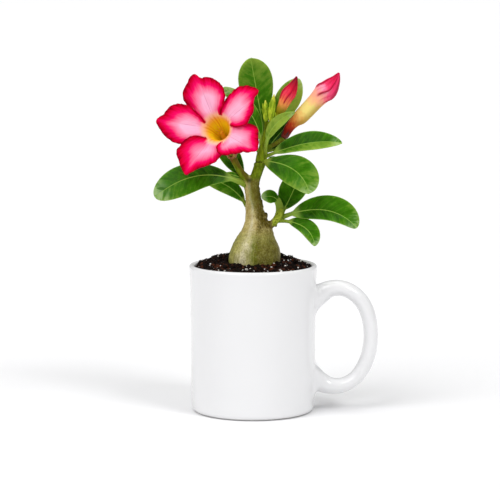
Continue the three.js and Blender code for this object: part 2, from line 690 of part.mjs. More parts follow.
function bloomSolid() {
  const outer = tubeRings(0, BLOOM.tubeSteps, 0);
  const inner = tubeRings(BLOOM.tubeFloor, BLOOM.tubeSteps - 1, -BLOOM.wall).reverse();
  const funnel = toSolid(loft([...outer, ...inner]));
  return union([funnel, ...LOBES.map((lobe, i) => toSolid(lobeGeometry(lobe, i * BLOOM.phaseStep)))]);
}

// ---------------------------------------------------------------- buds and their cups

function budSolid({ path, sides, ridge, twist, twistFrom }) {
  const curve = new THREE.CatmullRomCurve3(path.map(vector), false, 'centripetal');
  const radii = path.map((p) => p[3]);
  const steps = path.length - 1;
  const rings = [];
  for (let step = 0; step <= steps; step += 1) {
    const t = step / steps;
    const along = curve.getTangent(t);
    const across = new THREE.Vector3(0, 1, 0).cross(along).normalize();
    const other = along.clone().cross(across);
    const fold = clamp((t - twistFrom) / (1 - twistFrom), 0, 1);
    rings.push(Array.from({ length: sides }, (_, i) => {
      const angle = (2 * Math.PI * i) / sides;
      const r = sample(radii, t) * (1 + ridge * fold * Math.cos(LOBES.length * angle));
      const turned = angle + twist * fold;
      return curve.getPoint(t)
        .addScaledVector(across, r * Math.cos(turned))
        .addScaledVector(other, r * Math.sin(turned));
    }));
  }
  return toSolid(loft(rings));
}

// A five-toothed cup round the foot of a bud or bloom, standing on a stalk's end.
function calyxSolid({ foot, along }, footRadius, mouthRadius) {
  const across = new THREE.Vector3(0, 1, 0).cross(along).normalize();
  const other = along.clone().cross(across);
  const ring = (height, radius, level) => Array.from({ length: CALYX.sides }, (_, i) => {
    const angle = (2 * Math.PI * i) / CALYX.sides;
    const tooth = level * (0.5 + 0.5 * Math.cos(LOBES.length * angle)) ** CALYX.toothPower;
    const r = radius + tooth * CALYX.flare;
    return foot.clone()
      .addScaledVector(along, height + tooth * CALYX.tooth)
      .addScaledVector(across, r * Math.cos(angle))
      .addScaledVector(other, r * Math.sin(angle));
  });
  const outside = mouthRadius + CALYX.wall;
  const edge = CALYX.cup + CALYX.rim;
  return toSolid(loft([
    ring(0, footRadius, 0), ring(CALYX.cup, outside, CALYX.rim), ring(edge, outside, 1),
    ring(edge, mouthRadius, 1), ring(CALYX.cup, mouthRadius, CALYX.rim), ring(CALYX.floor, mouthRadius, 0),
  ]));
}

// ---------------------------------------------------------------- assembly

const group = new THREE.Group();

function addPiece(name, geometry, material) {
  const mesh = new THREE.Mesh(geometry, material);
  mesh.name = name;
  group.add(mesh);
}

addPiece('mug', fromSolid(mugSolid()), COLOURS.ceramic);
addPiece('soil', fromSolid(soilSolid()), COLOURS.soil);
addPiece('trunk', fromSolid(trunkSolid(0)), COLOURS.bark);

// What the leaves and flowers are cut back from, so that each keeps its clearance.
const stemRoom = trunkSolid(GAP);

Object.entries(LEAVES).forEach(([name, leaf], i) => {
  const solid = toSolid(leafGeometry(leaf, i * LEAF.phaseStep)).subtract(stemRoom);
  const largest = solid.decompose().reduce((a, b) => (a.volume() > b.volume() ? a : b));
  addPiece(`leaf_${name}`, fromSolid(largest), name === 'young_front' ? COLOURS.youngLeaf : COLOURS.leaf);
});

addPiece('bloom', fromSolid(bloomSolid().subtract(stemRoom)), COLOURS.petal);
Object.entries(BUDS).forEach(([name, bud]) => {
  const material = name.startsWith('bud_green') ? COLOURS.greenBud : COLOURS.bud;
  addPiece(name, fromSolid(budSolid(bud).subtract(stemRoom)), material);
});

const bloomSeat = cupSeat(LIMBS.leftBranch, bloomTube().getPoint(0));
const bloomMouth = BLOOM.tubeRadii[1] + 2 * GAP;
addPiece('bloom_calyx', fromSolid(calyxSolid(bloomSeat, CALYX.bloomFoot, bloomMouth)), COLOURS.calyx);

const budFoot = BUDS.bud_large.path[0];
const budSeat = cupSeat(LIMBS.largeBudStalk, vector(budFoot));
const budMouth = budFoot[3] + 4 * GAP;
addPiece('bud_large_calyx', fromSolid(calyxSolid(budSeat, CALYX.budFoot, budMouth)), COLOURS.calyx);

const box = new THREE.Box3().setFromObject(group);
group.position.set(-(box.min.x + box.max.x) / 2, -(box.min.y + box.max.y) / 2, -box.min.z);

export default group;
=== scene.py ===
"""A potted desert rose: an adenium with a swollen stem and one open bloom, in a plain white mug.

Shapes are worked out in millimetres about the mug's axis, and in_frame() brings them to the frame's metres.
Each piece has an operator of its own, which reads its sizes and colours from the settings on the scene.
"""

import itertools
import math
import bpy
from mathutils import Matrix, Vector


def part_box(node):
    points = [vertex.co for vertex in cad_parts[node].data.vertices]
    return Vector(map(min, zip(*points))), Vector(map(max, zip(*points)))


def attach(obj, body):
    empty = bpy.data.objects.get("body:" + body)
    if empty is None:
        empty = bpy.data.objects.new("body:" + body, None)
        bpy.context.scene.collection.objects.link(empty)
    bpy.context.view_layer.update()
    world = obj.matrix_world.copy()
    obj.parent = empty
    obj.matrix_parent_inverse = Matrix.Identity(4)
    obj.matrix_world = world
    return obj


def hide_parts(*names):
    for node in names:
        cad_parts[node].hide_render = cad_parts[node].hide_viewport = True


bl_info = {
    "name": "Potted desert rose",
    "version": (1, 0, 0),
    "blender": (4, 5, 0),
    "location": "View3D > Sidebar > Desert rose",
    "description": "Builds a desert rose in a mug round its packed frame",
    "category": "Add Mesh",
}

import bmesh
import bpy
import numpy as np
from mathutils import Vector

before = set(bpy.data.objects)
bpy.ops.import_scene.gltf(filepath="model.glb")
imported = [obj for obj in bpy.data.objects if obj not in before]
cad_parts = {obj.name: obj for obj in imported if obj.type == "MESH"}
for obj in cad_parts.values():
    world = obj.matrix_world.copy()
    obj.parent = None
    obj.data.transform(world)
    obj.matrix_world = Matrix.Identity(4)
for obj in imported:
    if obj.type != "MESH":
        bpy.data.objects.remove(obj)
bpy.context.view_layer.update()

MM = 0.001
MUG_LOW, MUG_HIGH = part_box("mug")
RIM_RADIUS = (MUG_HIGH.y - MUG_LOW.y) / 2
MUG_HEIGHT = MUG_HIGH.z
AXIS = np.array([MUG_LOW.x + RIM_RADIUS, (MUG_LOW.y + MUG_HIGH.y) / 2, 0])

# ---------------------------------------------------------------- the plant's measures, in millimetres

# Mug: outer radius by height, and the handle's centre line with the half thickness seen from the front.
MUG_SIDE = [(3.2, 39.5), (20.9, 40.1), (57, 40.3), (81.7, 40.6), (93.3, 41.2)]
HANDLE = [
    (37.5, 73.2, 8.0), (43.5, 75.8, 6.6), (49.5, 79.2, 5.4), (58, 79.4, 5.0), (66, 75.3, 4.9),
    (72.6, 66.8, 4.8), (75.9, 54, 4.7), (75.5, 40, 4.7), (71.3, 27.6, 4.6), (64.5, 19.2, 4.6),
    (56, 15.5, 4.9), (48.8, 16, 5.5), (43.5, 18.2, 6.5), (37.5, 20.8, 8.4),
]

# Swollen base and neck: height, centre x, radius.
CAUDEX = [
    (81, 0.5, 5), (85, 0.5, 10), (90, 0.6, 14.5), (95, 0.7, 16.3), (100.5, 0.8, 16.4),
    (106, 1.2, 15.2), (110.4, 1.4, 13.4), (114.3, 2.0, 11.4), (118.2, 2.6, 9.6), (122.1, 2.3, 7.7),
    (127, 1.6, 6.5), (133, 0.8, 5.8), (139, 0.0, 5.1), (144, -0.8, 4.9), (148, -1.3, 4.4),
]

# Limbs that grow out of the neck: points x, y, z, radius.
LIMBS = {
    "left_branch": [
        (-1.2, 0, 142, 3.9), (-3.4, 0, 148.8, 3.3), (-7.4, -0.4, 153.8, 2.5), (-10.6, -1, 159.3, 2.3),
        (-12.8, -2, 164, 2.3),
    ],
    "right_branch": [
        (-0.8, 0, 142, 4.2), (1, 0, 149.5, 3.5), (2.8, 0, 155, 3.45), (4.8, 0, 161, 3.6),
        (5.8, 0, 166, 3.5), (6.8, 0, 171.5, 2.9), (7.8, 0, 177, 2.5), (8.2, 0, 181, 1.6),
    ],
    "shoot_collar": [(3, -1, 118.5, 4.4), (9.4, -2.6, 120.4, 3.2), (12.2, -2.6, 121.4, 2.6)],
    "shoot": [
        (10.5, -2.6, 121, 2.2), (14.6, -2.4, 123.8, 2.6), (16.6, -2, 127.6, 2.5), (17.6, -1.4, 131, 1.8),
    ],
    "old_scar": [(4, -1, 124.5, 2.4), (7.2, -2, 125.6, 1.9), (8.4, -2.2, 127.4, 1.2)],
    "large_bud_stalk": [
        (6.6, 0, 168, 1.7), (12, 2, 171.4, 1.5), (17.6, 3.8, 174.2, 1.8), (19.4, 4, 175.6, 1.9),
    ],
    "red_bud_stalk": [(8, 0, 178, 1.5), (11.6, 0.4, 182.6, 1.3), (14.6, 0.2, 187, 1.6)],
    "green_stalk_left": [(8, -0.4, 179, 1.2), (8.3, -1, 184, 0.9), (8.2, -1, 187, 1.0)],
    "green_stalk_right": [(8.4, -0.4, 179, 1.2), (10.2, -1.4, 184, 1.0), (11, -1.4, 187.4, 1.2)],
}

# Leaves: base, middle and tip of the midrib, and the way the upper face looks. Then half widths to the left
# and right of the midrib, fold in degrees, where the blade is widest (a pair where its halves differ, left
# and right), where its stalk ends, its bluntness, and how light its left and its right half are. These last
# two are partly the leaf's own green and partly painted light and shade: leaves that sit in shadow are dark.
LEAVES = {
    "top": (
        (7.6, 1.4, 176.5), (2.9, 7, 202.3), (-1.5, 4, 226.9), (0.1, -1, 0.1),
        10.8, 11.6, 6, 0.7, 0.1, 0.5, 0.42, 0.46,
    ),
    "top_right": (
        (8.6, 1.4, 174.5), (20.6, 9, 196), (30, 8, 213.4), (-0.3, -1, 0.3),
        9, 8.2, 12, 0.62, 0.12, 0.55, 0.56, 0.92,
    ),
    "behind_bloom": (
        (5.4, -1, 171), (-1.4, 0.6, 191.5), (-19, 3, 208.6), (0, -1, 0.45),
        7.2, 5.5, 15, 0.6, 0.1, 0.55, 0.3, 0.4,
    ),
    "young_front": (
        (7.6, -2, 166), (12.6, -7, 183.6), (26.5, -9, 193.3), (-0.5, -0.75, -0.55),
        4.0, 3.9, 20, 0.62, 0.24, 0.55, 0.88, 0.98,
    ),
    "shade": (
        (7, 1.8, 166), (17.6, 12, 179), (28.3, 16, 189.1), (-0.3, -1, 0.5),
        5.6, 7.4, 15, (0.46, 0.36), 0.05, 0.55, 0.15, 0.25,
    ),
    "right_upper": (
        (7.4, 0.4, 164.2), (32.6, -4, 172.7), (56.4, -8, 173.9), (0, -0.75, 0.65),
        8.2, 7.0, 20, (0.53, 0.58), 0.12, 0.55, 0.26, 0.66,
    ),
    "right_front": (
        (6.2, -2.4, 161.8), (26.2, -12, 156.7), (35.6, -16, 142.4), (0.25, -1, 0.45),
        11.6, 11, 6, (0.63, 0.54), 0.02, 0.5, 0.44, 0.46,
    ),
    "left_long": (
        (-4.6, -2, 146.4), (-33.8, -9, 153.2), (-62.2, -12, 139.4), (-0.15, -0.85, 0.55),
        10.4, 11.2, -4, 0.69, 0.14, 0.42, 0.33, 0.22,
    ),
    "left_small": (
        (-6.2, -0.6, 150.4), (-13.2, -1.5, 152.8), (-18.7, -1, 153.2), (0.2, -0.8, 0.3),
        2, 2, 15, 0.5, 0.05, 0.6, 0.6, 0.5,
    ),
    "left_low": (
        (-4, 1.6, 132.6), (-16.1, 5, 144.9), (-32.9, 7, 150.1), (-0.2, -1, 0.35),
        5.6, 6.2, 6, 0.62, 0.08, 0.5, 0.48, 0.32,
    ),
    "left_back": (
        (-5.6, 2, 150.4), (-15.5, 8, 164.2), (-25.2, 10, 179.5), (0.1, -1, 0.3),
        6.0, 7.4, 6, 0.56, 0.06, 0.55, 0.15, 0.15,
    ),
    "shoot_small": (
        (16.8, -1.6, 127), (14.6, -3, 137.4), (5.4, -5, 138.9), (0.35, -0.85, 0.5),
        4.8, 4.6, 10, 0.72, 0.4, 0.5, 0.3, 0.32,
    ),
    "shoot_up": (
        (18.2, 0.4, 127.5), (25.1, 4, 140.6), (31.6, 6, 156.7), (-0.1, -1, 0.2),
        9.2, 8.4, 6, (0.56, 0.66), 0.1, 0.55, 0.34, 0.32,
    ),
    "shoot_right": (
        (16.4, -1, 124.6), (44.7, -4, 130.6), (66.3, -5, 119.2), (0, -0.9, 0.45),
        10.8, 7.0, 8, (0.64, 0.5), 0.14, 0.5, 0.34, 0.26,
    ),
    "shoot_low": (
        (16, -2.4, 123.6), (32.5, -7, 119.7), (39.5, -9, 108), (0.3, -0.9, 0.35),
        6.8, 4.7, 10, 0.6, 0.16, 0.55, 0.33, 0.36,
    ),
    "back_left": (
        (5, 2, 165), (-8, 20, 178), (-22, 34, 175), (-0.2, 0.4, 1),
        7.5, 7.5, 12, 0.6, 0.12, 0.55, 0.4, 0.4,
    ),
    "back_right": (
        (5.4, 2, 160), (20, 20, 161), (31, 33, 150), (0.3, 0.4, 1),
        7.5, 7.5, 12, 0.6, 0.12, 0.55, 0.4, 0.4,
    ),
    "back_top": (
        (7.2, 1.8, 170), (4.5, 17, 197), (1, 24, 219), (0, 1, 0.3),
        7.5, 7.5, 12, 0.64, 0.12, 0.55, 0.4, 0.4,
    ),
}
LEAF_PHASE = 1.3  # shift of the waves from one leaf to the next
STALK_WIDTH = 1.1  # half widths of a leaf's stalk, and of the broader ones
BROAD_STALKS = {"shoot_small": 2.7, "left_long": 1.7, "shoot_right": 1.4}

# Bloom: the throat's middle, the way it faces, and the tube's inner and outer radius by its depth.
BLOOM_CENTRE = (-23.2, -26, 184.4)
BLOOM_FACING = (-0.3, -0.92, 0.22)
TUBE = [
    (0, 8.8, 9.2), (1.2, 8.2, 8.7), (2.6, 7.7, 8.2), (4.5, 7.2, 7.7), (8, 6.2, 6.9), (12, 4.9, 5.9),
    (16, 3.4, 4.8), (20, 2.3, 3.7), (24, 1.8, 2.8), (30, 1.5, 2.2),
]
# Its five petals: the angle of the middle line, then the outline from its front edge, on the right of the
# tip, to its back edge, as degrees from the middle line and distance from the throat's middle.
PETALS = [
    (112, [
        (-32, 9.2), (-38, 15), (-38, 20), (-29, 27), (-14, 32), (-4, 32.4), (2, 36), (13, 34.2),
        (27, 30.6), (33, 25.2), (40, 17.4), (44, 9.2),
    ]),
    (175, [
        (-20, 9.2), (-32, 13.5), (-33, 20), (-22, 30.5), (-6, 35), (1, 38), (12, 34), (24, 29),
        (33, 23), (39, 16), (42, 9.4),
    ]),
    (241, [
        (-23, 9.4), (-36, 12.5), (-39, 18.5), (-30, 27), (-12, 31), (2, 34.4), (9, 29), (27, 23.4),
        (41, 19), (49, 15), (51, 8.8),
    ]),
    (333, [
        (-42, 8.8), (-55, 12), (-46, 17.5), (-28, 20.5), (-12, 25), (2, 32.8), (14, 30.6), (28, 27.6),
        (38, 21), (43, 14), (42, 9),
    ]),
    (396, [
        (-21, 9), (-32, 13.5), (-29, 21.5), (-13, 28), (0, 32), (4, 37), (14, 34.8), (28, 29),
        (34, 23), (41, 15), (44, 9.2),
    ]),
]

# Buds: points x, y, z, radius along the middle.
LARGE_BUD = [
    (20.5, 4, 178, 2.5), (22.7, 4, 182, 3.0), (24.9, 4, 184.7, 3.2), (27, 4, 186.8, 3.7),
    (30, 4, 189.3, 4.8), (33.5, 4, 192.8, 5.0), (37.5, 4, 197.1, 5.1), (40.5, 4, 200.3, 5.3),
    (43.2, 4, 203.1, 5.9), (45.4, 4, 205.2, 6.5), (47.7, 4, 207.3, 6.2), (50.2, 4, 210.3, 5.1),
    (52.7, 4, 213.7, 3.1), (54.2, 4, 216.6, 1.4), (54.8, 4, 217.9, 0.5),
]
RED_BUD = [
    (15, 0, 188.2, 1.6), (16, 0, 191, 2.4), (17.3, 0, 193.9, 2.95), (19, 0, 197.2, 3.45),
    (20.5, 0, 200.6, 3.9), (21.8, 0, 203.6, 4.4), (23.2, 0, 205.9, 4.4), (24.8, 0, 208.5, 3.5),
    (26.2, 0, 211.6, 2.3), (27.3, 0, 214.4, 1.1), (27.7, 0, 215.7, 0.5),
]
GREEN_BUDS = {
    "bud_green_left": [
        (8.2, -1, 187.2, 1.0), (7.9, -1, 191.2, 1.6), (7.8, -1, 196.2, 1.3), (7.8, -1, 200.6, 0.3),
    ],
    "bud_green_right": [
        (11.2, -1.4, 187.6, 1.2), (11.5, -1.4, 192.5, 2.0), (12.3, -1.4, 198.4, 1.8),
        (13.4, -1.4, 204.4, 0.3),
    ],
}

# ---------------------------------------------------------------- settings


def amount(name, text, default, **limits):
    """A property for a plain number."""
    return bpy.props.FloatProperty(name=name, description=text, default=default, **limits)


def count(name, text, default):
    """A property for a whole number."""
    return bpy.props.IntProperty(name=name, description=text, default=default, min=0)


def length(name, text, default):
    """A property for a size, given in millimetres."""
    return amount(name, text, default * MM, subtype="DISTANCE", unit="LENGTH", precision=5)


def linear(code):
    """A hex colour as linear light."""
    parts = [int(code[i : i + 2], 16) / 255 for i in (0, 2, 4)]
    return [p / 12.92 if p <= 0.04045 else ((p + 0.055) / 1.055) ** 2.4 for p in parts]


def tint(name, text, code):
    """A property for a colour, given as a hex code."""
    return bpy.props.FloatVectorProperty(
        name=name, description=text, default=linear(code), size=3, min=0, max=1, subtype="COLOR"
    )


class MugSettings(bpy.types.PropertyGroup):
    """Sizes and colours of the mug."""

    rim_radius: length("Rim radius", "Outer radius at the lip", RIM_RADIUS / MM)
    height: length("Height", "From the foot to the lip", MUG_HEIGHT / MM)
    handle_half_width: length("Handle half width", "Half width of the handle, across its loop", 6.2)
    glaze: tint("Glaze", "Colour of the glazed ceramic", "e9e9ea")
    # The unglazed foot is a thin band at the floor, grey and darker than the glaze. Its grey is partly
    # painted contact shade.
    bare_clay: tint("Bare clay", "Colour of the unglazed foot", "c9c8c7")


class SoilSettings(bpy.types.PropertyGroup):
    """Sizes and colours of the potting mix."""

    crumbs: count("Crumbs", "Dark crumbs on the soil", 2100)
    crumb_size: length("Crumb size", "Width of the largest crumbs", 4.2)
    perlite: count("Perlite", "White grains on the crumbs", 280)
    perlite_size: length("Perlite size", "Width of the largest grains", 2.3)
    seed: count("Seed", "Seed of the scatter", 4)
    peat: tint("Peat", "Colour of the mix", "160803")
    perlite_colour: tint("Perlite colour", "Colour of the white grains", "f6f1e8")


class TrunkSettings(bpy.types.PropertyGroup):
    """Sizes and colours of the swollen base, the neck and the stalks."""

    grain: length("Grain", "Size of the remeshed faces", 0.42)
    wrinkle: length("Wrinkle", "Depth of the rings round the neck", 0.18)
    bark: tint("Bark", "Yellow green of the swollen base", "b6b062")
    # Pale bark is the colour of the painted highlights: a band left of the stem's front and one down its
    # right edge.
    pale: tint("Pale bark", "Worn, light patches", "dcd4ac")
    moss: tint("Moss", "Green folds of the base", "6a7412")
    # Dark bark is the colour of the painted shade on the stem's right side, away from the light.
    dark: tint("Dark bark", "Old bark on the right", "5c5014")
    green: tint("Green stem", "Young stem above the neck", "768c14")


class LeafSettings(bpy.types.PropertyGroup):
    """Sizes and colours of the leaves."""

    thickness: length("Thickness", "Thickness beside the midrib", 0.7)
    margin: length("Margin", "Thickness at the edge", 0.34)
    midrib: length("Midrib", "Half width of the pale midrib", 0.36)
    vein_gap: length("Vein gap", "Distance between side veins", 3.1)
    shade: tint("Shade", "Darkest green", "183c02")
    blade: tint("Blade", "Usual green of the upper face", "3c760a")
    light: tint("Light", "Lightest green", "92b040")
    rib: tint("Rib", "Midrib and stalk", "9cc050")


class BloomSettings(bpy.types.PropertyGroup):
    """Sizes and colours of the open bloom."""

    thickness: length("Thickness", "Thickness of the petals", 0.5)
    ruffle: length("Ruffle", "Height of the small waves at the petals' edges", 0.5)
    rim: tint("Rim", "Petal edge", "8a001c")
    band: tint("Band", "Red band inside the edge", "cc002c")
    magenta: tint("Magenta", "Between the band and the centre", "f40c64")
    pale: tint("Pale", "Petal centre", "fdb4d0")
    vein: tint("Vein", "Fine lines towards the throat", "b4688c")
    throat: tint("Throat", "Golden throat", "f8c62c")


class BudSettings(bpy.types.PropertyGroup):
    """Sizes and colours of the buds and their cups."""

    fold: amount("Fold", "Step between folded petals, as a share of the bud's radius", 0.22, min=0)
    base: tint("Base", "Narrow foot of the tube", "80150a")
    yellow: tint("Yellow", "Swelling of the tube", "f0dc80")
    pink: tint("Pink", "Folded petals", "ff92b0")
    tip: tint("Tip", "Tip and petal edges", "b00632")
    green: tint("Green", "Young buds and sepals", "c0d838")


class StageSettings(bpy.types.PropertyGroup):
    """Camera, floor and lights."""

    distance: length("Camera distance", "From the mug's axis", 1393)
    camera_height: length("Camera height", "Above the floor", 281)
    focal: amount("Focal length", "Of the camera", 157.2, min=1, unit="CAMERA")
    ambient: amount("Ambient", "Strength of the fill light", 0.44, min=0)
    floor: tint("Floor", "Colour of the floor", "f3f3f4")


SETTINGS = {
    "rose_mug": MugSettings,
    "rose_soil": SoilSettings,
    "rose_trunk": TrunkSettings,
    "rose_leaf": LeafSettings,
    "rose_bloom": BloomSettings,
    "rose_bud": BudSettings,
    "rose_stage": StageSettings,
}

# ---------------------------------------------------------------- numbers and curves


def mix(a, b, t):
    """From a, where t is 0, to b, where it is 1."""
    return a + (b - a) * t


def smooth(x):
    """x kept between 0 and 1, with a soft turn at both."""
    x = np.clip(x, 0, 1)
    return x * x * (3 - 2 * x)


def unit(v):
    """Vectors drawn to length 1."""
    v = np.asarray(v, float)
    return v / np.linalg.norm(v, axis=-1, keepdims=True)


def bell(x, width):
    """1 where x is 0, and nearly nothing at twice the width to either side."""
    return np.exp(-((np.asarray(x) / width) ** 2))


NOISE_MIX = (127.1, 311.7, 74.7)  # numbers that turn a cell's place and a seed into something like chance
NOISE_SPREAD = 43758.5453
SEED_SHIFT = 17.31


def noise(points, size, seed=0):
    """Smooth, repeatable noise from -1 to 1 with lumps of about that size, which may differ by axis."""
    p = np.asarray(points, float) / size + seed * SEED_SHIFT
    cell = np.floor(p)
    part = smooth(p - cell)
    total = 0
    for corner in itertools.product((0, 1), repeat=3):
        wave = np.sin((cell + corner) @ NOISE_MIX) * NOISE_SPREAD
        weight = np.prod(np.where(corner, part, 1 - part), axis=-1)
        total = total + (2 * (wave - np.floor(wave)) - 1) * weight
    return total


def spline(knots, t):
    """Places and directions at t, from 0 to 1, on a smooth curve through the knots.

    Columns of the knots past the third, such as a radius, go along with the places.
    """
    knots = np.array(knots, float)
    padded = np.vstack([2 * knots[0] - knots[1], knots, 2 * knots[-1] - knots[-2]])
    place = np.clip(t, 0, 1) * (len(knots) - 1)
    i = np.minimum(place.astype(int), len(knots) - 2)
    w = (place - i)[:, None]
    p0, p1, p2, p3 = (padded[i + k] for k in range(4))
    gaps = np.linalg.norm(np.diff(padded[:, :3], axis=0), axis=1) ** 0.5
    d0, d1, d2 = (gaps[i + k][:, None] for k in range(3))
    m1 = d1 * ((p1 - p0) / d0 - (p2 - p0) / (d0 + d1) + (p2 - p1) / d1)
    m2 = d1 * ((p2 - p1) / d1 - (p3 - p1) / (d1 + d2) + (p3 - p2) / d2)
    a = 2 * p1 - 2 * p2 + m1 + m2
    b = -3 * p1 + 3 * p2 - 2 * m1 - m2
    return ((a * w + b) * w + m1) * w + p1, unit(((3 * a * w + 2 * b) * w + m1)[:, :3])


def corners(sides):
    """Angles of a round section's corners."""
    return 2 * np.pi * np.arange(sides) / sides


def rings(centres, directions, radii, angle, hint):
    """Round sections across a path, by place on it and corner. Radii may differ by corner."""
    across = unit(np.cross(hint, directions))
    other = np.cross(directions, across)
    radii = np.asarray(radii, float).reshape(len(centres), -1)
    return (
        centres[:, None]
        + across[:, None] * (radii * np.cos(angle))[..., None]
        + other[:, None] * (radii * np.sin(angle))[..., None]
    )


# ---------------------------------------------------------------- meshes


def quads(rows, columns, around=False):
    """Faces over a grid of points, closed round its columns or open."""
    i, j = np.meshgrid(np.arange(rows - 1), np.arange(columns if around else columns - 1), indexing="ij")
    beside = (j + 1) % columns
    face = [i * columns + j, i * columns + beside, (i + 1) * columns + beside, (i + 1) * columns + j]
    return np.stack(face, -1).reshape(-1, 4).tolist()


def closed_loft(grid):
    """Points and faces of a skin over rings, closed by a fan at both ends."""
    rows, columns = grid.shape[:2]
    points = np.vstack([grid.reshape(-1, 3), grid[0].mean(0), grid[-1].mean(0)])
    start, end, last = rows * columns, rows * columns + 1, (rows - 1) * columns
    faces = quads(rows, columns, around=True)
    faces += [[start, (i + 1) % columns, i] for i in range(columns)]
    faces += [[end, last + i, last + (i + 1) % columns] for i in range(columns)]
    return points, faces


def sheet_normals(points, faces):
    """A direction across an open sheet of quads at each point."""
    face = np.array(faces)
    corner = [points[face[:, k]] for k in range(4)]
    across = np.cross(corner[2] - corner[0], corner[3] - corner[1])
    normals = np.zeros_like(points)
    for k in range(4):
        np.add.at(normals, face[:, k], across)
    return unit(normals + 1e-12)


def thicken(points, faces, front, back):
    """A closed body from an open sheet: a face at some distance on each side of it, joined round its edge."""
    normals = sheet_normals(points, faces)
    body = np.vstack([points + normals * front[:, None], points - normals * back[:, None]])
    count = len(points)
    edges = {(f[k], f[(k + 1) % 4]) for f in faces for k in range(4)}
    sides = [[b, a, a + count, b + count] for a, b in edges if (b, a) not in edges]
    return body, faces + [[i + count for i in reversed(f)] for f in faces] + sides


def in_frame(points):
    """Points in the frame, in metres."""
    return np.asarray(points, float) * MM + AXIS


def write_attribute(mesh, name, values):
    """One number for each of a mesh's points, for its finish to read."""
    mesh.attributes.new(name, "FLOAT", "POINT").data.foreach_set("value", np.asarray(values, np.float32))


def new_object(name, points, faces, attributes=None, turn_out=True):
    """An object at the origin with its place in its mesh, from points in millimetres about the mug's axis."""
    mesh = bpy.data.meshes.new(name)
    mesh.from_pydata(in_frame(points).tolist(), [], faces)
    for key, values in (attributes or {}).items():
        write_attribute(mesh, key, values)
    if turn_out:
        work = bmesh.new()
        work.from_mesh(mesh)
        bmesh.ops.recalc_face_normals(work, faces=work.faces)
        work.to_mesh(mesh)
        work.free()
    mesh.shade_smooth()
    mesh.update()
    item = bpy.data.objects.new(name, mesh)
    bpy.context.scene.collection.objects.link(item)
    return item


def settle(item):
    """Turns an object's modifiers into plain mesh."""
    bpy.context.view_layer.update()
    made = bpy.data.meshes.new_from_object(item.evaluated_get(bpy.context.evaluated_depsgraph_get()))
    item.modifiers.clear()
    item.data = made
    return item


def read_points(item, key):
    """Places ("co") or directions ("normal") of an object's points, as the frame has them."""
    flat = np.empty(len(item.data.vertices) * 3, np.float32)
    item.data.vertices.foreach_get(key, flat)
    return flat.reshape(-1, 3).astype(float)


def write_points(item, points):
    item.data.vertices.foreach_set("co", in_frame(points).astype(np.float32).ravel())
    item.data.update()


def finish_piece(item, nodes, material):
    """Hands a finished piece to the frame: what it rides on, what it stands for and its finish."""
    item.data.materials.clear()
    item.data.materials.append(material)
    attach(item, "root")
    if nodes:
        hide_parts(*nodes)


# ---------------------------------------------------------------- materials


def add_node(tree, kind, inputs=(), **settings):
    """A new node. Its inputs are given by name or place, as values or as other nodes' outputs."""
    made = tree.nodes.new(kind)
    for key, value in settings.items():
        setattr(made, key, value)
    for key, value in dict(inputs).items():
        if isinstance(value, bpy.types.NodeSocket):
            tree.links.new(value, made.inputs[key])
        else:
            made.inputs[key].default_value = value
    return made


def rgba(colour):
    """A colour, given as a hex code or as linear light, in the form that nodes take."""
    return (*(linear(colour) if isinstance(colour, str) else colour), 1)


def dimmed(colour, share):
    """A colour with that share of its light."""
    return [c * share for c in rgba(colour)[:3]]


def between(first, second, share):
    """A colour between two others."""
    return [mix(a, b, share) for a, b in zip(first, second)]


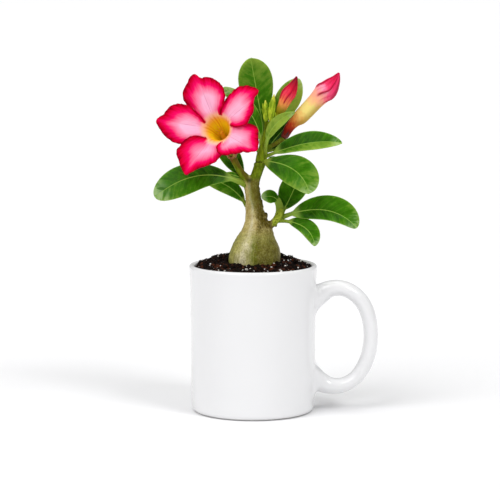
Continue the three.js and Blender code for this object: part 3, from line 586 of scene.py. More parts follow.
class Finish:
    """A material being made: its shader, and short calls for the nodes that the finishes share."""

    def __init__(self, name, **constants):
        self.material = bpy.data.materials.new(name)
        self.material.use_nodes = True
        self.tree = self.material.node_tree
        self.shader = self.tree.nodes["Principled BSDF"]
        self.place = self.node("TexCoord").outputs["Object"]
        self.keep(**constants)

    def keep(self, **constants):
        """Sets sockets of the shader that are the same all over."""
        for socket, value in constants.items():
            self.shader.inputs[socket.replace("_", " ")].default_value = value

    def let_light_in(self, weight, radius):
        """How much light enters the surface, and how far its red, green and blue go, in millimetres."""
        self.keep(Subsurface_Weight=weight, Subsurface_Radius=radius, Subsurface_Scale=MM)

    def node(self, kind, inputs=(), **settings):
        return add_node(self.tree, "ShaderNode" + kind, inputs, **settings)

    def attribute(self, name):
        return self.node("Attribute", attribute_name=name).outputs["Fac"]

    def work(self, operation, *values, clamp=False):
        """A number worked out from others."""
        made = self.node("Math", dict(enumerate(values)), operation=operation, use_clamp=clamp)
        return made.outputs[0]

    def times(self, a, b, clamp=False):
        return self.work("MULTIPLY", a, b, clamp=clamp)

    def plus(self, a, b):
        return self.work("ADD", a, b)

    def minus(self, a, b):
        return self.work("SUBTRACT", a, b)

    def apart(self, a, b=0.0):
        """How far a lies from b, to either side."""
        return self.work("ABSOLUTE", self.minus(a, b) if b else a)

    def share(self, value, whole):
        """value as a share of the whole, kept between 0 and 1."""
        return self.work("DIVIDE", value, whole, clamp=True)

    def fade(self, value, low, high, start=0.0, end=1.0):
        """value turned from low..high to start..end, smoothly."""
        inputs = {"Value": value, "From Min": low, "From Max": high, "To Min": start, "To Max": end}
        return self.node("MapRange", inputs, interpolation_type="SMOOTHSTEP").outputs["Result"]

    def noise(self, size, stretch=(1, 1, 1), detail=3, vector=None):
        """Noise with lumps of that size in millimetres, drawn out along the axes by stretch."""
        scale = [1 / (size * MM * s) for s in stretch]
        moved = self.node("Mapping", {"Vector": vector or self.place, "Scale": scale})
        inputs = {"Vector": moved.outputs[0], "Scale": 1.0, "Detail": detail, "Roughness": 0.55}
        return self.node("TexNoise", inputs).outputs["Fac"]

    def surface_noise(self, x, y, z=0.0):
        """Fine noise that follows a piece's own measures, such as those along and across a leaf."""
        spot = self.node("CombineXYZ", {"X": x, "Y": y, "Z": z})
        return self.noise(1 / MM, vector=spot.outputs[0])

    def blend(self, share, below, above, kind="MIX"):
        """Colour below with as much of the one above over it as its share says."""
        inputs = {0: share}
        for index, colour in ((6, below), (7, above)):
            inputs[index] = colour if isinstance(colour, bpy.types.NodeSocket) else rgba(colour)
        return self.node("Mix", inputs, data_type="RGBA", blend_type=kind, clamp_factor=True).outputs[2]

    def coats(self, tone, *layers):
        """tone with further colours laid over it in order, each given as its share and its colour."""
        for share, colour in layers:
            tone = self.blend(share, tone, colour)
        return tone

    def ramp(self, value, *stops):
        """A colour for value, from pairs of place and colour."""
        made = self.node("ValToRGB", {"Fac": value})
        elements = made.color_ramp.elements
        while len(elements) < len(stops):
            elements.new(0.5)
        for element, (place, colour) in zip(elements, stops):
            element.position = place
            element.color = rgba(colour)
        return made.outputs["Color"]

    def set(self, socket, value):
        self.tree.links.new(value, self.shader.inputs[socket])

    def bump(self, height, depth, strength=0.6):
        inputs = {"Height": height, "Distance": depth * MM, "Strength": strength}
        self.set("Normal", self.node("Bump", inputs).outputs[0])


def ceramic_finish(settings):
    made = Finish("white_glazed_ceramic", Coat_Weight=0.35, Coat_Roughness=0.06)
    height = made.node("SeparateXYZ", {"Vector": made.place}).outputs["Z"]
    # The unglazed foot ring at the floor: its grey is partly painted contact shade.
    bare = made.fade(height, 0.7 * MM, 1.5 * MM, 1, 0)
    speck = made.fade(made.noise(1.1, detail=2), 0.66, 0.74)
    clay = made.blend(made.times(speck, bare), settings.bare_clay, (0.3, 0.25, 0.2))
    glaze = made.blend(made.noise(26), settings.glaze, dimmed(settings.glaze, 0.975))
    made.set("Base Color", made.blend(bare, glaze, clay))
    made.set("Roughness", made.plus(made.times(bare, 0.55), made.fade(made.noise(14), 0.3, 0.7, 0.12, 0.2)))
    made.bump(made.noise(9, detail=1), 0.05, 0.35)
    return made.material


def soil_finish(name, dark, light):
    """Rough, crumbly stuff whose lightest grains have the light colour."""
    made = Finish(name, Roughness=0.6, Specular_IOR_Level=0.07)
    tone = made.blend(made.fade(made.noise(1.6, detail=4), 0.42, 0.66), dimmed(dark, 0.4), dark)
    made.set("Base Color", made.blend(made.fade(made.attribute("grain_tone"), 0.72, 1.0), tone, light))
    made.bump(made.noise(0.5), 0.3)
    return made.material


def bark_finish(settings):
    made = Finish("stem_bark", Specular_IOR_Level=0.04)
    facts = ("tan", "mossy", "pale", "young", "shaded", "lime", "rusty", "ringed", "knotty", "scar")
    tan, mossy, pale, young, shaded, lime, rusty, ringed, knotty, scar = map(made.attribute, facts)
    streak = made.noise(2.0, (1, 1, 4), detail=4)
    patch = made.noise(3, (1, 1, 1.5), detail=4)
    fleck = made.noise(1.1, (1, 1, 0.8))
    lines = made.noise(1.0, (4, 4, 0.5))
    grain = made.noise(0.8, (1, 1, 1.6), detail=4)
    uneven = made.fade(patch, 0.36, 0.6)
    old = made.times(made.fade(young, 0, 1, 1, 0.35), made.fade(lime, 0, 1, 1, 0.15))
    fresh = made.blend(made.fade(streak, 0.4, 0.6), settings.green, dimmed(settings.green, 0.55))
    tone = made.coats(
        made.blend(uneven, settings.bark, dimmed(settings.bark, 0.72)),
        (tan, made.blend(uneven, "d4c482", "b8a460")),
        (made.times(mossy, made.fade(streak, 0.36, 0.6, 0.5, 1), clamp=True), settings.moss),
        # The pale coat lays on painted highlights, and the shaded coat lays on painted shade on the right
        # side.
        (made.times(pale, made.fade(streak, 0.34, 0.56, 0.35, 1), clamp=True), settings.pale),
        (young, fresh),
        (made.times(shaded, made.fade(patch, 0.3, 0.6, 0.7, 1), clamp=True), settings.dark),
        (lime, made.blend(uneven, "b0c040", "94a42c")),
        (rusty, made.blend(uneven, "8c5020", "6c4418")),
        (made.times(ringed, made.fade(lines, 0.52, 0.66, 0, 0.7)), "d8d0a8"),
        (made.times(knotty, made.fade(fleck, 0.54, 0.66, 0, 0.8)), "342a06"),
    )
    dark_grain = made.times(made.fade(grain, 0.44, 0.64, 0, 0.5), old)
    tone = made.blend(dark_grain, tone, (0.55, 0.52, 0.4), "MULTIPLY")
    pale_grain = made.times(made.fade(grain, 0.36, 0.48, 0.1, 0), old)
    # The scars' colour also paints the shade in the fork's crotch.
    made.set("Base Color", made.coats(tone, (pale_grain, "dcd8a4"), (scar, "241a08")))
    made.set("Roughness", made.fade(streak, 0.3, 0.7, 0.4, 0.6))
    height = made.plus(made.times(lines, ringed), made.times(fleck, -0.7))
    made.bump(made.minus(height, made.times(grain, 0.4)), 0.5, 0.7)
    return made.material


def leaf_finish(settings):
    made = Finish("leaf_blade", Specular_IOR_Level=0.045)
    made.let_light_in(0.1, (0.4, 0.8, 0.1))
    facts = ("across", "along", "under", "tone", "tip", "blade", "edge", "rib")
    across, along, under, tone, tip, blade, edge, rib_width = map(made.attribute, facts)
    mottle = made.noise(4, detail=4)
    slope = made.minus(along, made.times(made.apart(across), 0.75))
    drift = made.times(made.noise(40), 6)
    sheen = made.surface_noise(made.times(slope, 0.3), made.times(across, 0.12), drift)
    level = made.plus(tone, made.fade(mottle, 0.3, 0.7, -0.05, 0.05))
    level = made.plus(level, made.fade(sheen, 0.34, 0.7, -0.08, 0.14))
    phase = made.work("FRACT", made.work("DIVIDE", slope, settings.vein_gap / MM))
    vein = made.times(made.fade(made.apart(phase, 0.5), 0.0, 0.13, 1, 0), blade)
    top = made.coats(
        made.ramp(level, (0.0, settings.shade), (0.45, settings.blade), (1.0, settings.light)),
        (made.times(vein, made.fade(mottle, 0.35, 0.65, 0.02, 0.15)), settings.light),
        # A pale, patchy sheen painted near the tips.
        (made.times(tip, made.fade(sheen, 0.4, 0.6, 0.05, 0.5)), "b4cc98"),
    )
    deep, soft = (between(settings.blade, settings.light, share) for share in (0.3, 0.62))
    below = made.blend(made.fade(mottle, 0.3, 0.7), deep, soft)
    below = made.blend(made.times(vein, made.fade(mottle, 0.3, 0.7, 0.1, 0.4)), below, settings.light)
    rib = made.fade(made.work("DIVIDE", made.apart(across), rib_width), 0.4, 1.0, 1, 0)
    foot = made.times(made.fade(blade, 0.0, 0.9, 0.75, 0), made.fade(along, 1, 11, 1, 0))
    tone = made.coats(
        made.blend(under, top, below),
        (made.times(rib, 0.75), settings.rib),
        (made.times(made.fade(edge, 0.12, 0.5, 0.6, 0), blade), settings.rib),
        (made.fade(blade, 0.0, 0.9, 0.8, 0), settings.rib),
        (foot, "76841e"),
    )
    made.set("Base Color", tone)
    made.set("Roughness", made.plus(made.fade(mottle, 0.3, 0.7, 0.24, 0.36), made.times(under, 0.25)))
    made.bump(made.plus(made.times(vein, -0.5), made.times(made.noise(2.4), 0.8)), 0.16, 0.5)
    return made.material


def petal_finish(settings):
    made = Finish("petal", Roughness=0.5, Specular_IOR_Level=0.01)
    made.let_light_in(0.15, (1.2, 0.4, 0.4))
    fan, depth, under, from_edge = map(made.attribute, ("fan", "depth", "under", "inset"))
    streak = made.surface_noise(made.times(fan, 11.0), made.times(depth, 0.12))
    shift = made.times(made.minus(streak, 0.5), 3.4)
    tone = made.ramp(
        made.share(made.plus(from_edge, shift), 13.0),
        (0.0, settings.rim),
        (0.09, settings.band),
        (0.27, settings.magenta),
        (0.5, between(settings.magenta, settings.pale, 0.45)),
        (0.9, settings.pale),
    )
    aside = made.apart(fan)
    line = made.times(made.fade(aside, 0.006, 0.03, 0.5, 0), made.fade(depth, -20, -9))
    side = made.times(made.fade(made.apart(aside, 0.2), 0.0, 0.03, 0.25, 0), made.fade(depth, -12, -5))
    tone = made.blend(made.work("MAXIMUM", line, side), tone, settings.vein)
    throat = made.ramp(
        made.share(made.plus(depth, 3.5), 16.0),
        (0.0, settings.pale),
        (0.19, "fdbf9c"),
        (0.34, "f6b65c"),
        (0.5, settings.throat),
        (0.75, "fce020"),
        (1.0, "fadc1c"),
    )
    guide = made.fade(aside, 0.03, 0.16, 1, 0)
    beside = made.fade(made.apart(aside, 0.42), 0.02, 0.09, 0.7, 0)
    guide = made.times(made.work("MAXIMUM", guide, beside), made.fade(depth, -2.0, 2, 0, 0.6))
    throat = made.blend(guide, throat, "e07c10")
    at_edge = made.plus(shift, made.fade(from_edge, 0.0, 4.5, -3.0, 0))
    tone = made.blend(made.fade(made.plus(depth, at_edge), -3.3, -0.7), tone, throat)
    stops = ((0.0, "f7b3c4"), (0.3, "f3c19a"), (0.6, "e2c25e"), (1.0, "8f8a2c"))
    tube = made.ramp(made.share(depth, 28.0), *stops)
    back = made.coats(tone, (0.28, "f8a0bc"), (made.fade(depth, -3, 2), tube))
    made.set("Base Color", made.blend(under, tone, back))
    made.bump(made.plus(streak, made.times(made.noise(0.6), 0.3)), 0.3, 0.4)
    return made.material


def anther_finish(settings):
    made = Finish("anther", Roughness=0.6, Specular_IOR_Level=0.2)
    patches = made.fade(made.noise(0.7), 0.35, 0.65)
    made.set("Base Color", made.blend(patches, settings.throat, "e8963a"))
    made.bump(made.noise(0.4), 0.1)
    return made.material


def bud_finish(settings):
    made = Finish("bud", Roughness=0.42, Specular_IOR_Level=0.08)
    made.let_light_in(0.1, (1.0, 0.4, 0.3))
    facts = ("along", "side", "red", "band", "crease", "leafy")
    along, side, red, band, crease, leafy = map(made.attribute, facts)
    mottle = made.noise(2.2, (1, 1, 2))
    level = made.plus(along, made.fade(mottle, 0.3, 0.7, -0.025, 0.025))
    pink = made.ramp(
        level,
        (0.0, "70200c"), (0.07, settings.base), (0.14, "a83414"), (0.21, "cc7c38"), (0.29, "e6b460"),
        (0.37, settings.yellow), (0.46, settings.yellow), (0.56, "fbb888"), (0.66, "fda49a"),
        (0.72, settings.pink), (0.8, "f04070"), (0.87, "d41448"), (1.0, settings.tip),
    )
    swelling = made.times(made.fade(level, 0.14, 0.3), made.fade(level, 0.5, 0.66, 1, 0))
    # Painted shade down the bud's right side, away from the light: olive over the swelling.
    shaded = made.times(made.fade(side, 0.0, 0.9, 0, 0.75), swelling)
    flush = made.times(made.fade(side, 0.1, 0.5, 0, 0.85), made.fade(level, 0.58, 0.72))
    # Dark crimson painted down the right side of the bud's upper part, as painted shade.
    rim = made.times(made.fade(side, 0.6, 1), made.fade(level, 0.6, 0.7))
    crimson = made.ramp(
        level,
        (0.0, settings.green), (0.12, "7a7a06"), (0.24, "a48c20"), (0.36, "ee9850"),
        (0.48, "f26a50"), (0.58, "f04058"), (0.72, "cc1434"), (0.95, "5c0818"),
    )
    green = made.blend(made.fade(mottle, 0.35, 0.65), settings.green, "7c9c1a")
    tone = made.coats(
        pink,
        (shaded, "b08c2c"),
        (flush, "f0386c"),
        (rim, "84062c"),
        (red, crimson),
        (made.times(band, 0.85), made.blend(red, "ee1c5a", "c40824")),
        # Dark lines at the folded petals' edges and middles: partly the petal edges' crimson, partly painted
        # shade in the folds.
        (crease, settings.tip),
        (leafy, made.blend(made.fade(along, 0.7, 1.0), green, "d2d650")),
    )
    made.set("Base Color", tone)
    made.bump(made.noise(0.8, (1, 1, 2)), 0.12, 0.4)
    return made.material


def cup_finish(name, colour, tip):
    made = Finish(name, Roughness=0.5, Specular_IOR_Level=0.35)
    grain = made.noise(1.2, (1, 1, 3))
    tone = made.blend(made.fade(grain, 0.35, 0.65), colour, dimmed(colour, 0.55))
    made.set("Base Color", made.blend(made.attribute("tooth"), tone, tip))
    made.bump(grain, 0.15, 0.4)
    return made.material


# ---------------------------------------------------------------- mug

MUG_SIDES = 48
MUG_WALL = 3.5
LIP_RADIUS = 1.7
LIP_STEPS = 6
# Radius and height under the foot, from its middle outwards, and on the floor inside, from its edge inwards.
FOOT = [(0, 1.6), (14, 1.6), (26, 1.6), (32.2, 1.6), (33.2, 0.8), (33.6, 0), (34.9, 0), (36.2, 0)]
FLOOR = [(20, 6), (10, 6), (0, 6)]
HANDLE_SIDES = 16
HANDLE_RINGS = 26
HANDLE_SAMPLES = 400
HANDLE_START = 43.2  # distance of the handle's first ring from the mug's axis
HANDLE_FLARE = 0.12  # how much wider it gets towards both ends
SEAT_SPAN = 4  # faces of the wall, each way, that open into an end of the handle
SEATS = ((9.5, 30.5), (64.5, 84.5))  # heights of those openings
ABOVE_SEATS = ((36, 42, 48, 54, 59.5), (88.5, 91.5))  # heights of the wall's rings over each of them


def after_subdivision(sides):
    """How much wider a ring of corners is made, so that its subdivided surface has the right radius."""
    return 3 / (2 + math.cos(2 * math.pi / sides))


def arc(x, y, radius, start, end, steps):
    """Places on an arc from one angle to another, in degrees."""
    angles = np.radians(np.linspace(start, end, steps + 1))
    return [(x + radius * math.cos(a), y + radius * math.sin(a)) for a in angles]


def mug_profile(settings):
    """Radius and height round the mug's wall, from the middle of its foot to the middle of its floor."""
    rim, top = settings.rim_radius / MM, settings.height / MM
    heights = [6.0]
    for (low, high), above in zip(SEATS, ABOVE_SEATS):
        heights += [low + (high - low) * k / SEAT_SPAN for k in range(SEAT_SPAN + 1)]
        heights += above
    side = [(np.interp(z, *np.transpose(MUG_SIDE)), z) for z in heights]
    lip_width = LIP_RADIUS * after_subdivision(2 * LIP_STEPS)
    lip = arc(rim - LIP_RADIUS, top - LIP_RADIUS, lip_width, 0, 180, LIP_STEPS)
    inner = rim - MUG_WALL
    inside = [(inner - 0.1, 91), (inner - 0.3, 80), (inner - 0.8, 57), (36.1, 30), (36, 16)]
    return [*FOOT, *arc(36.3, 3.2, 3.2, -75, 0, 4), *side, *lip, *inside, *arc(30, 12, 6, 0, -90, 4), *FLOOR]


def handle_rings(settings):
    """Sections of the handle from just outside the wall at its top to just outside it at its foot."""
    knots = [(x, 0, z, half) for x, z, half in HANDLE]
    path, _ = spline(knots, np.linspace(0, 1, HANDLE_SAMPLES))
    outside = np.flatnonzero(path[:, 0] > HANDLE_START)
    t = np.linspace(outside[0], outside[-1], HANDLE_RINGS) / (HANDLE_SAMPLES - 1)
    path, along = spline(knots, t)
    across = np.stack([along[:, 2], 0 * t, -along[:, 0]], -1)
    flare = 1 + HANDLE_FLARE * bell(np.minimum(t - t[0], t[-1] - t), 0.05)
    half_width = settings.handle_half_width / MM * flare
    angle = corners(HANDLE_SIDES)
    swell = after_subdivision(HANDLE_SIDES)
    sections = path[:, None, :3] + across[:, None] * (swell * path[:, 3:] * np.cos(angle))[..., None]
    sections[..., 1] += swell * half_width[:, None] * np.sin(angle)
    return sections


def seat_loop(row):
    """Corners round the opening in the wall above this row of the mug's grid, in order."""
    half = SEAT_SPAN // 2
    walk = [(0, 1)] * half
    for side in ((-1, 0), (0, -1), (1, 0), (0, 1)):
        walk += [side] * SEAT_SPAN
    column, rise, loop = half, 0, []
    for across, up in walk[: 4 * SEAT_SPAN]:
        loop.append((row + half + rise) * MUG_SIDES + column % MUG_SIDES)
        column += across
        rise += up
    return loop


def bridge(points, loop, ring):
    """Faces between a loop of corners and a ring of as many, turned so that they match best."""
    count = len(loop)
    turns = [np.roll(order, -k) for order in (loop, loop[::-1]) for k in range(count)]
    best = min(turns, key=lambda turned: np.linalg.norm(points[turned] - points[ring], axis=1).sum())
    return np.stack([best, np.roll(best, -1), np.roll(ring, -1), ring], -1).tolist()


class ROSE_OT_mug(bpy.types.Operator):
    """Make the mug: a turned wall that runs into its handle in soft fillets"""

    bl_idname = "rose.mug"
    bl_label = "Mug"

    def execute(self, context):
        settings = context.scene.rose_mug
        profile = mug_profile(settings)
        grid = profile[1:-1]
        swell, angle = after_subdivision(MUG_SIDES), corners(MUG_SIDES)
        wall = [(r * swell * math.cos(a), r * swell * math.sin(a), z) for r, z in grid for a in angle]
        poles = [(0, 0, profile[0][1]), (0, 0, profile[-1][1])]
        points = np.vstack([wall, poles, handle_rings(settings).reshape(-1, 3)])
        foot, floor, first_ring = len(wall), len(wall) + 1, len(wall) + 2
        seat_rows = [next(i for i, (_, z) in enumerate(grid) if z == low) for low, _ in SEATS]
        columns = {c % MUG_SIDES for c in range(-SEAT_SPAN // 2, SEAT_SPAN // 2)}
        open_faces = {(row + k, c) for row in seat_rows for k in range(SEAT_SPAN) for c in columns}
        faces = quads(len(grid), MUG_SIDES, around=True)
        faces = [f for f in faces if divmod(f[0], MUG_SIDES) not in open_faces]
        last = len(wall) - MUG_SIDES
        for i in range(MUG_SIDES):
            faces.append([foot, (i + 1) % MUG_SIDES, i])
            faces.append([floor, last + i, last + (i + 1) % MUG_SIDES])
        faces += [[first_ring + i for i in f] for f in quads(HANDLE_RINGS, HANDLE_SIDES, around=True)]
        top_ring = list(range(first_ring, first_ring + HANDLE_SIDES))
        low_ring = [i + (HANDLE_RINGS - 1) * HANDLE_SIDES for i in top_ring]
        for row, ring in zip(seat_rows, (low_ring, top_ring)):
            faces += bridge(points, seat_loop(row), ring)
        mug = new_object("mug_body", points, faces)
        subdivide = mug.modifiers.new("Round", "SUBSURF")
        subdivide.levels = subdivide.render_levels = 2
        finish_piece(settle(mug), ["mug"], ceramic_finish(settings))
        return {"FINISHED"}


# ---------------------------------------------------------------- soil

SOIL_SIDES = 150
SOIL_TOP_RINGS = 44
MUG_INNER = 37.5  # radius at the soil's edge
SOIL_WALL = [(36.2, 50), (37.1, 85)]  # the soil's radius and height down in the mug
SOIL_EDGE = 92.6  # height of the soil at the front of the mug's wall
SOIL_PEAK = 96.2  # and against the front of the stem
CLOD_HEIGHT = 0.8
STREWN = slice(9, -5)  # the soil's rings that carry crumbs, short of the mug's wall and of the stem
STEM_GAP = 0.3  # between the stem and the soil
STEM_KNOT = 3  # the place in CAUDEX where the stem leaves the soil, whose rings follow it down from there
BARK_SHARE = 0.09  # chips of bark for each crumb


def soil_height(x, y):
    """Height of the soil: a mound of clods against the stem, higher behind it."""
    r = np.hypot(x, y)
    edge = SOIL_EDGE + 2.4 * smooth((y + 20) / 35)
    edge -= (2.4 * smooth((x - 8) / 14) + 1.3 * smooth((-x - 12) / 14)) * smooth((y + 16) / 16)
    peak = SOIL_PEAK + 4.6 * smooth((y + 12) / 26)
    slope = np.clip((37.2 - r) / 20.5, 0, 1) ** 0.8
    flat = np.stack([x, y, 0 * x], -1)
    clods = noise(flat, 3.1) + 0.55 * noise(flat, 1.5, 1) + 0.25 * noise(flat, 0.8, 2)
    return mix(edge, peak, slope) + CLOD_HEIGHT * clods * np.clip((37 - r) / 4, 0.3, 1)


def caudex_ring(z, x, radius, angle):
    """Corners of one ring of the swollen base, a little ridged where it is thick."""
    swell = np.clip((radius - 5) / 12, 0, 1)
    r = radius * (1 + swell * (0.006 * np.cos(2 * angle) + 0.022 * np.cos(5 * angle + 0.6)))
    return np.stack([x + r * np.cos(angle), r * np.sin(angle), z + 0 * angle], -1)


def soil_rings():
    """Rings up the mug's wall, in over the top and down round the stem's foot."""
    angle = corners(SOIL_SIDES)
    circle = np.stack([np.cos(angle), np.sin(angle)], -1)
    wall = [*arc(30, 12.2, 5.8, -90, 0, 4), *SOIL_WALL]
    grid = [np.column_stack([circle * r, np.full(SOIL_SIDES, z)]) for r, z in wall]
    z, x, radius = CAUDEX[STEM_KNOT]
    stem = caudex_ring(z, x, radius + STEM_GAP, angle)[:, :2]
    for share in np.linspace(0, 1, SOIL_TOP_RINGS):
        xy = mix(circle * MUG_INNER, stem, share)
        grid.append(np.column_stack([xy, soil_height(xy[:, 0], xy[:, 1])]))
    for z, x, radius in CAUDEX[STEM_KNOT:0:-1]:
        grid.append(caudex_ring(z - 1.5, x, radius + STEM_GAP, angle))
    return np.array(grid)


def scatter_tree(name, material):
    """Nodes that strew lumpy grains over a surface. Inputs: Surface, Density, Size, Smallest and Seed."""
    tree = bpy.data.node_groups.new(name, "GeometryNodeTree")
    face = tree.interface
    face.new_socket("Surface", in_out="INPUT", socket_type="NodeSocketGeometry")
    names = {}
    for key, kind in {"Density": "Float", "Size": "Float", "Smallest": "Float", "Seed": "Int"}.items():
        names[key] = face.new_socket(key, in_out="INPUT", socket_type="NodeSocket" + kind).identifier
    face.new_socket("Grains", in_out="OUTPUT", socket_type="NodeSocketGeometry")

    def geometry(kind, inputs=(), **settings):
        return add_node(tree, "GeometryNode" + kind, inputs, **settings)

    def shader(kind, inputs=(), **settings):
        return add_node(tree, "ShaderNode" + kind, inputs, **settings)

    def chance(kind, low, high, seed):
        """A random value for each grain. Its sockets for a vector come first, then those for a number."""
        first = 0 if kind == "FLOAT_VECTOR" else 2
        inputs = {first: low, first + 1: high, "Seed": seed}
        return add_node(tree, "FunctionNodeRandomValue", inputs, data_type=kind).outputs[first // 2]

    start = add_node(tree, "NodeGroupInput").outputs
    cube = geometry("MeshCube", {"Size": (1, 1, 1), "Vertices X": 3, "Vertices Y": 3, "Vertices Z": 3})
    place = geometry("InputPosition").outputs[0]
    round_place = shader("VectorMath", {0: place}, operation="NORMALIZE")
    lumps = shader("TexNoise", {"Vector": place, "Scale": 2.3, "Detail": 1.0})
    limits = {"From Min": 0.25, "From Max": 0.75, "To Min": 0.24, "To Max": 0.66}
    reach = shader("MapRange", {"Value": lumps.outputs["Fac"], **limits})
    lumpy = {0: round_place.outputs[0], "Scale": reach.outputs[0]}
    lumpy = shader("VectorMath", lumpy, operation="SCALE").outputs[0]
    grain = geometry("SetPosition", {"Geometry": cube.outputs[0], "Position": lumpy})
    spread = {"Mesh": start["Surface"], "Density": start["Density"], "Seed": start["Seed"]}
    spots = geometry("DistributePointsOnFaces", spread)
    turn = chance("FLOAT_VECTOR", (0, 0, 0), (6.28, 6.28, 6.28), start["Seed"])
    mostly_small = shader("Math", {0: chance("FLOAT", 0.0, 1.0, start["Seed"]), 1: 2.2}, operation="POWER")
    sizes = {"Value": mostly_small.outputs[0], "To Min": start["Smallest"], "To Max": start["Size"]}
    width = shader("MapRange", sizes).outputs[0]
    placed = {"Points": spots.outputs[0], "Instance": grain.outputs[0], "Rotation": turn, "Scale": width}
    grains = geometry("InstanceOnPoints", placed)
    tone = {"Geometry": grains.outputs[0], "Name": "grain_tone", "Value": chance("FLOAT", 0.0, 1.0, 71)}
    toned = geometry("StoreNamedAttribute", tone, data_type="FLOAT", domain="INSTANCE")
    real = geometry("RealizeInstances", {"Geometry": toned.outputs[0]})
    coated = geometry("SetMaterial", {"Geometry": real.outputs[0], "Material": material})
    add_node(tree, "NodeGroupOutput", {0: coated.outputs[0]})
    return tree, names


def strew(name, surface, count, smallest, size, seed, material):
    """A new object of grains strewn over a surface by geometry nodes."""
    area = sum(p.area for p in surface.data.polygons)
    item = bpy.data.objects.new(name, surface.data.copy())
    bpy.context.scene.collection.objects.link(item)
    tree, names = scatter_tree(name + "_scatter", material)
    scatter = item.modifiers.new("Scatter", "NODES")
    scatter.node_group = tree
    for key, value in {"Density": count / area, "Size": size, "Smallest": smallest, "Seed": seed}.items():
        scatter[names[key]] = value
    settle(item)
    item.data.shade_smooth()
    return item


class ROSE_OT_soil(bpy.types.Operator):
    """Make the soil in the mug, with its crumbs and white grains"""

    bl_idname = "rose.soil"
    bl_label = "Soil"

    def execute(self, context):
        settings = context.scene.rose_soil
        grid = soil_rings()
        bed = new_object("soil_bed", *closed_loft(grid))
        finish_piece(bed, ["soil"], soil_finish("peat", settings.peat, "4a2c1c"))
        top = grid[STREWN]
        patch = new_object("soil_top", top.reshape(-1, 3), quads(*top.shape[:2], around=True), turn_out=False)
        crumb = soil_finish("peat_crumb", settings.peat, "482210")
        white = soil_finish("perlite_grain", settings.perlite_colour, "ffffff")
        bark = soil_finish("bark_chip", "42261a", "6e4430")
        count, wide, seed = settings.crumbs, settings.crumb_size, settings.seed
        crumbs = strew("soil_crumbs", patch, count, wide * 0.26, wide, seed, crumb)
        chips = strew("bark_chips", patch, count * BARK_SHARE, wide * 0.2, wide * 0.6, seed + 1, bark)
        chips.data.shade_flat()
        count, wide = settings.perlite, settings.perlite_size
        perlite = strew("perlite", crumbs, count, wide * 0.45, wide, seed + 2, white)
        for item, material in ((crumbs, crumb), (chips, bark), (perlite, white)):
            finish_piece(item, [], material)
        bpy.data.objects.remove(patch)
        return {"FINISHED"}


# ---------------------------------------------------------------- trunk

CAUDEX_SIDES = 72
CAUDEX_ROWS = 90
LIMB_SIDES = 20
LIMB_ROWS = 8  # for each of a limb's points
ROUND_END = (0.3, 0.6)  # how far a limb's last ring stands out and how wide it is, as shares of the radius
SCARS = [  # dark, dead ends on the stem: x, y, z, radius
    (8.2, -2.3, 127.7, 1.5), (14.6, -3.4, 120.5, 1.1), (12.9, -4.2, 120.2, 0.8), (7.6, -3.6, 124.4, 1.0),
]
SOIL_LINE = 93  # heights on the stem: where it leaves the soil, its fork and the joint over it on the right
FORK = 152
JOINT = 161.2
CRACK = (12.4, -2.6, 121.7)  # where the shoot's collar has split, and the way across the split
CRACK_ACROSS = (0.84, 0.05, 0.53)


def limb_body(points):
    """A round limb through points x, y, z and radius, with blunt, rounded ends."""
    path, along = spline(points, np.linspace(0, 1, len(points) * LIMB_ROWS))
    centres, radii = path[:, :3], path[:, 3]
    sections = rings(centres, along, radii, corners(LIMB_SIDES), (0, 1, 0))
    stand_out, width = ROUND_END
    start, end = (
        centres[k] + (sections[k] - centres[k]) * width + along[k] * (way * stand_out) * radii[k]
        for k, way in ((0, -1), (-1, 1))
    )
    return closed_loft(np.concatenate([start[None], sections, end[None]]))


def caudex_body():
    """The swollen base and the neck."""
    stations, _ = spline(CAUDEX, np.linspace(0, 1, CAUDEX_ROWS))
    return closed_loft(np.array([caudex_ring(*station, corners(CAUDEX_SIDES)) for station in stations]))


def scar_body(x, y, z, radius):
    """The short stub that a scar sits on."""
    ends = (x - 0.6, y, z - 0.8, radius * 0.9), (x + 0.5, y, z + 0.8, radius * 0.6)
    return limb_body([ends[0], (x, y, z, radius), ends[1]])


def joined(bodies):
    """Points and faces of several bodies as one."""
    points, faces, count = [], [], 0
    for body_points, body_faces in bodies:
        points.append(body_points)
        faces += [[i + count for i in f] for f in body_faces]
        count += len(body_points)
    return np.vstack(points), faces


def near(points, spot, radius):
    """1 at a spot, fading to 0 at that distance from it."""
    return smooth(1 - np.linalg.norm(points - np.array(spot[:3]), axis=1) / radius)


def round_stem(p):
    """Where points lie round the stem, in quarter turns from the front: -1 is left, 1 right, 2 the back."""
    heights, middles, _ = np.transpose(CAUDEX)
    side = np.degrees(np.arctan2(p[:, 1], p[:, 0] - np.interp(p[:, 2], heights, middles)))
    return ((side + 270) % 360 - 180) / 90


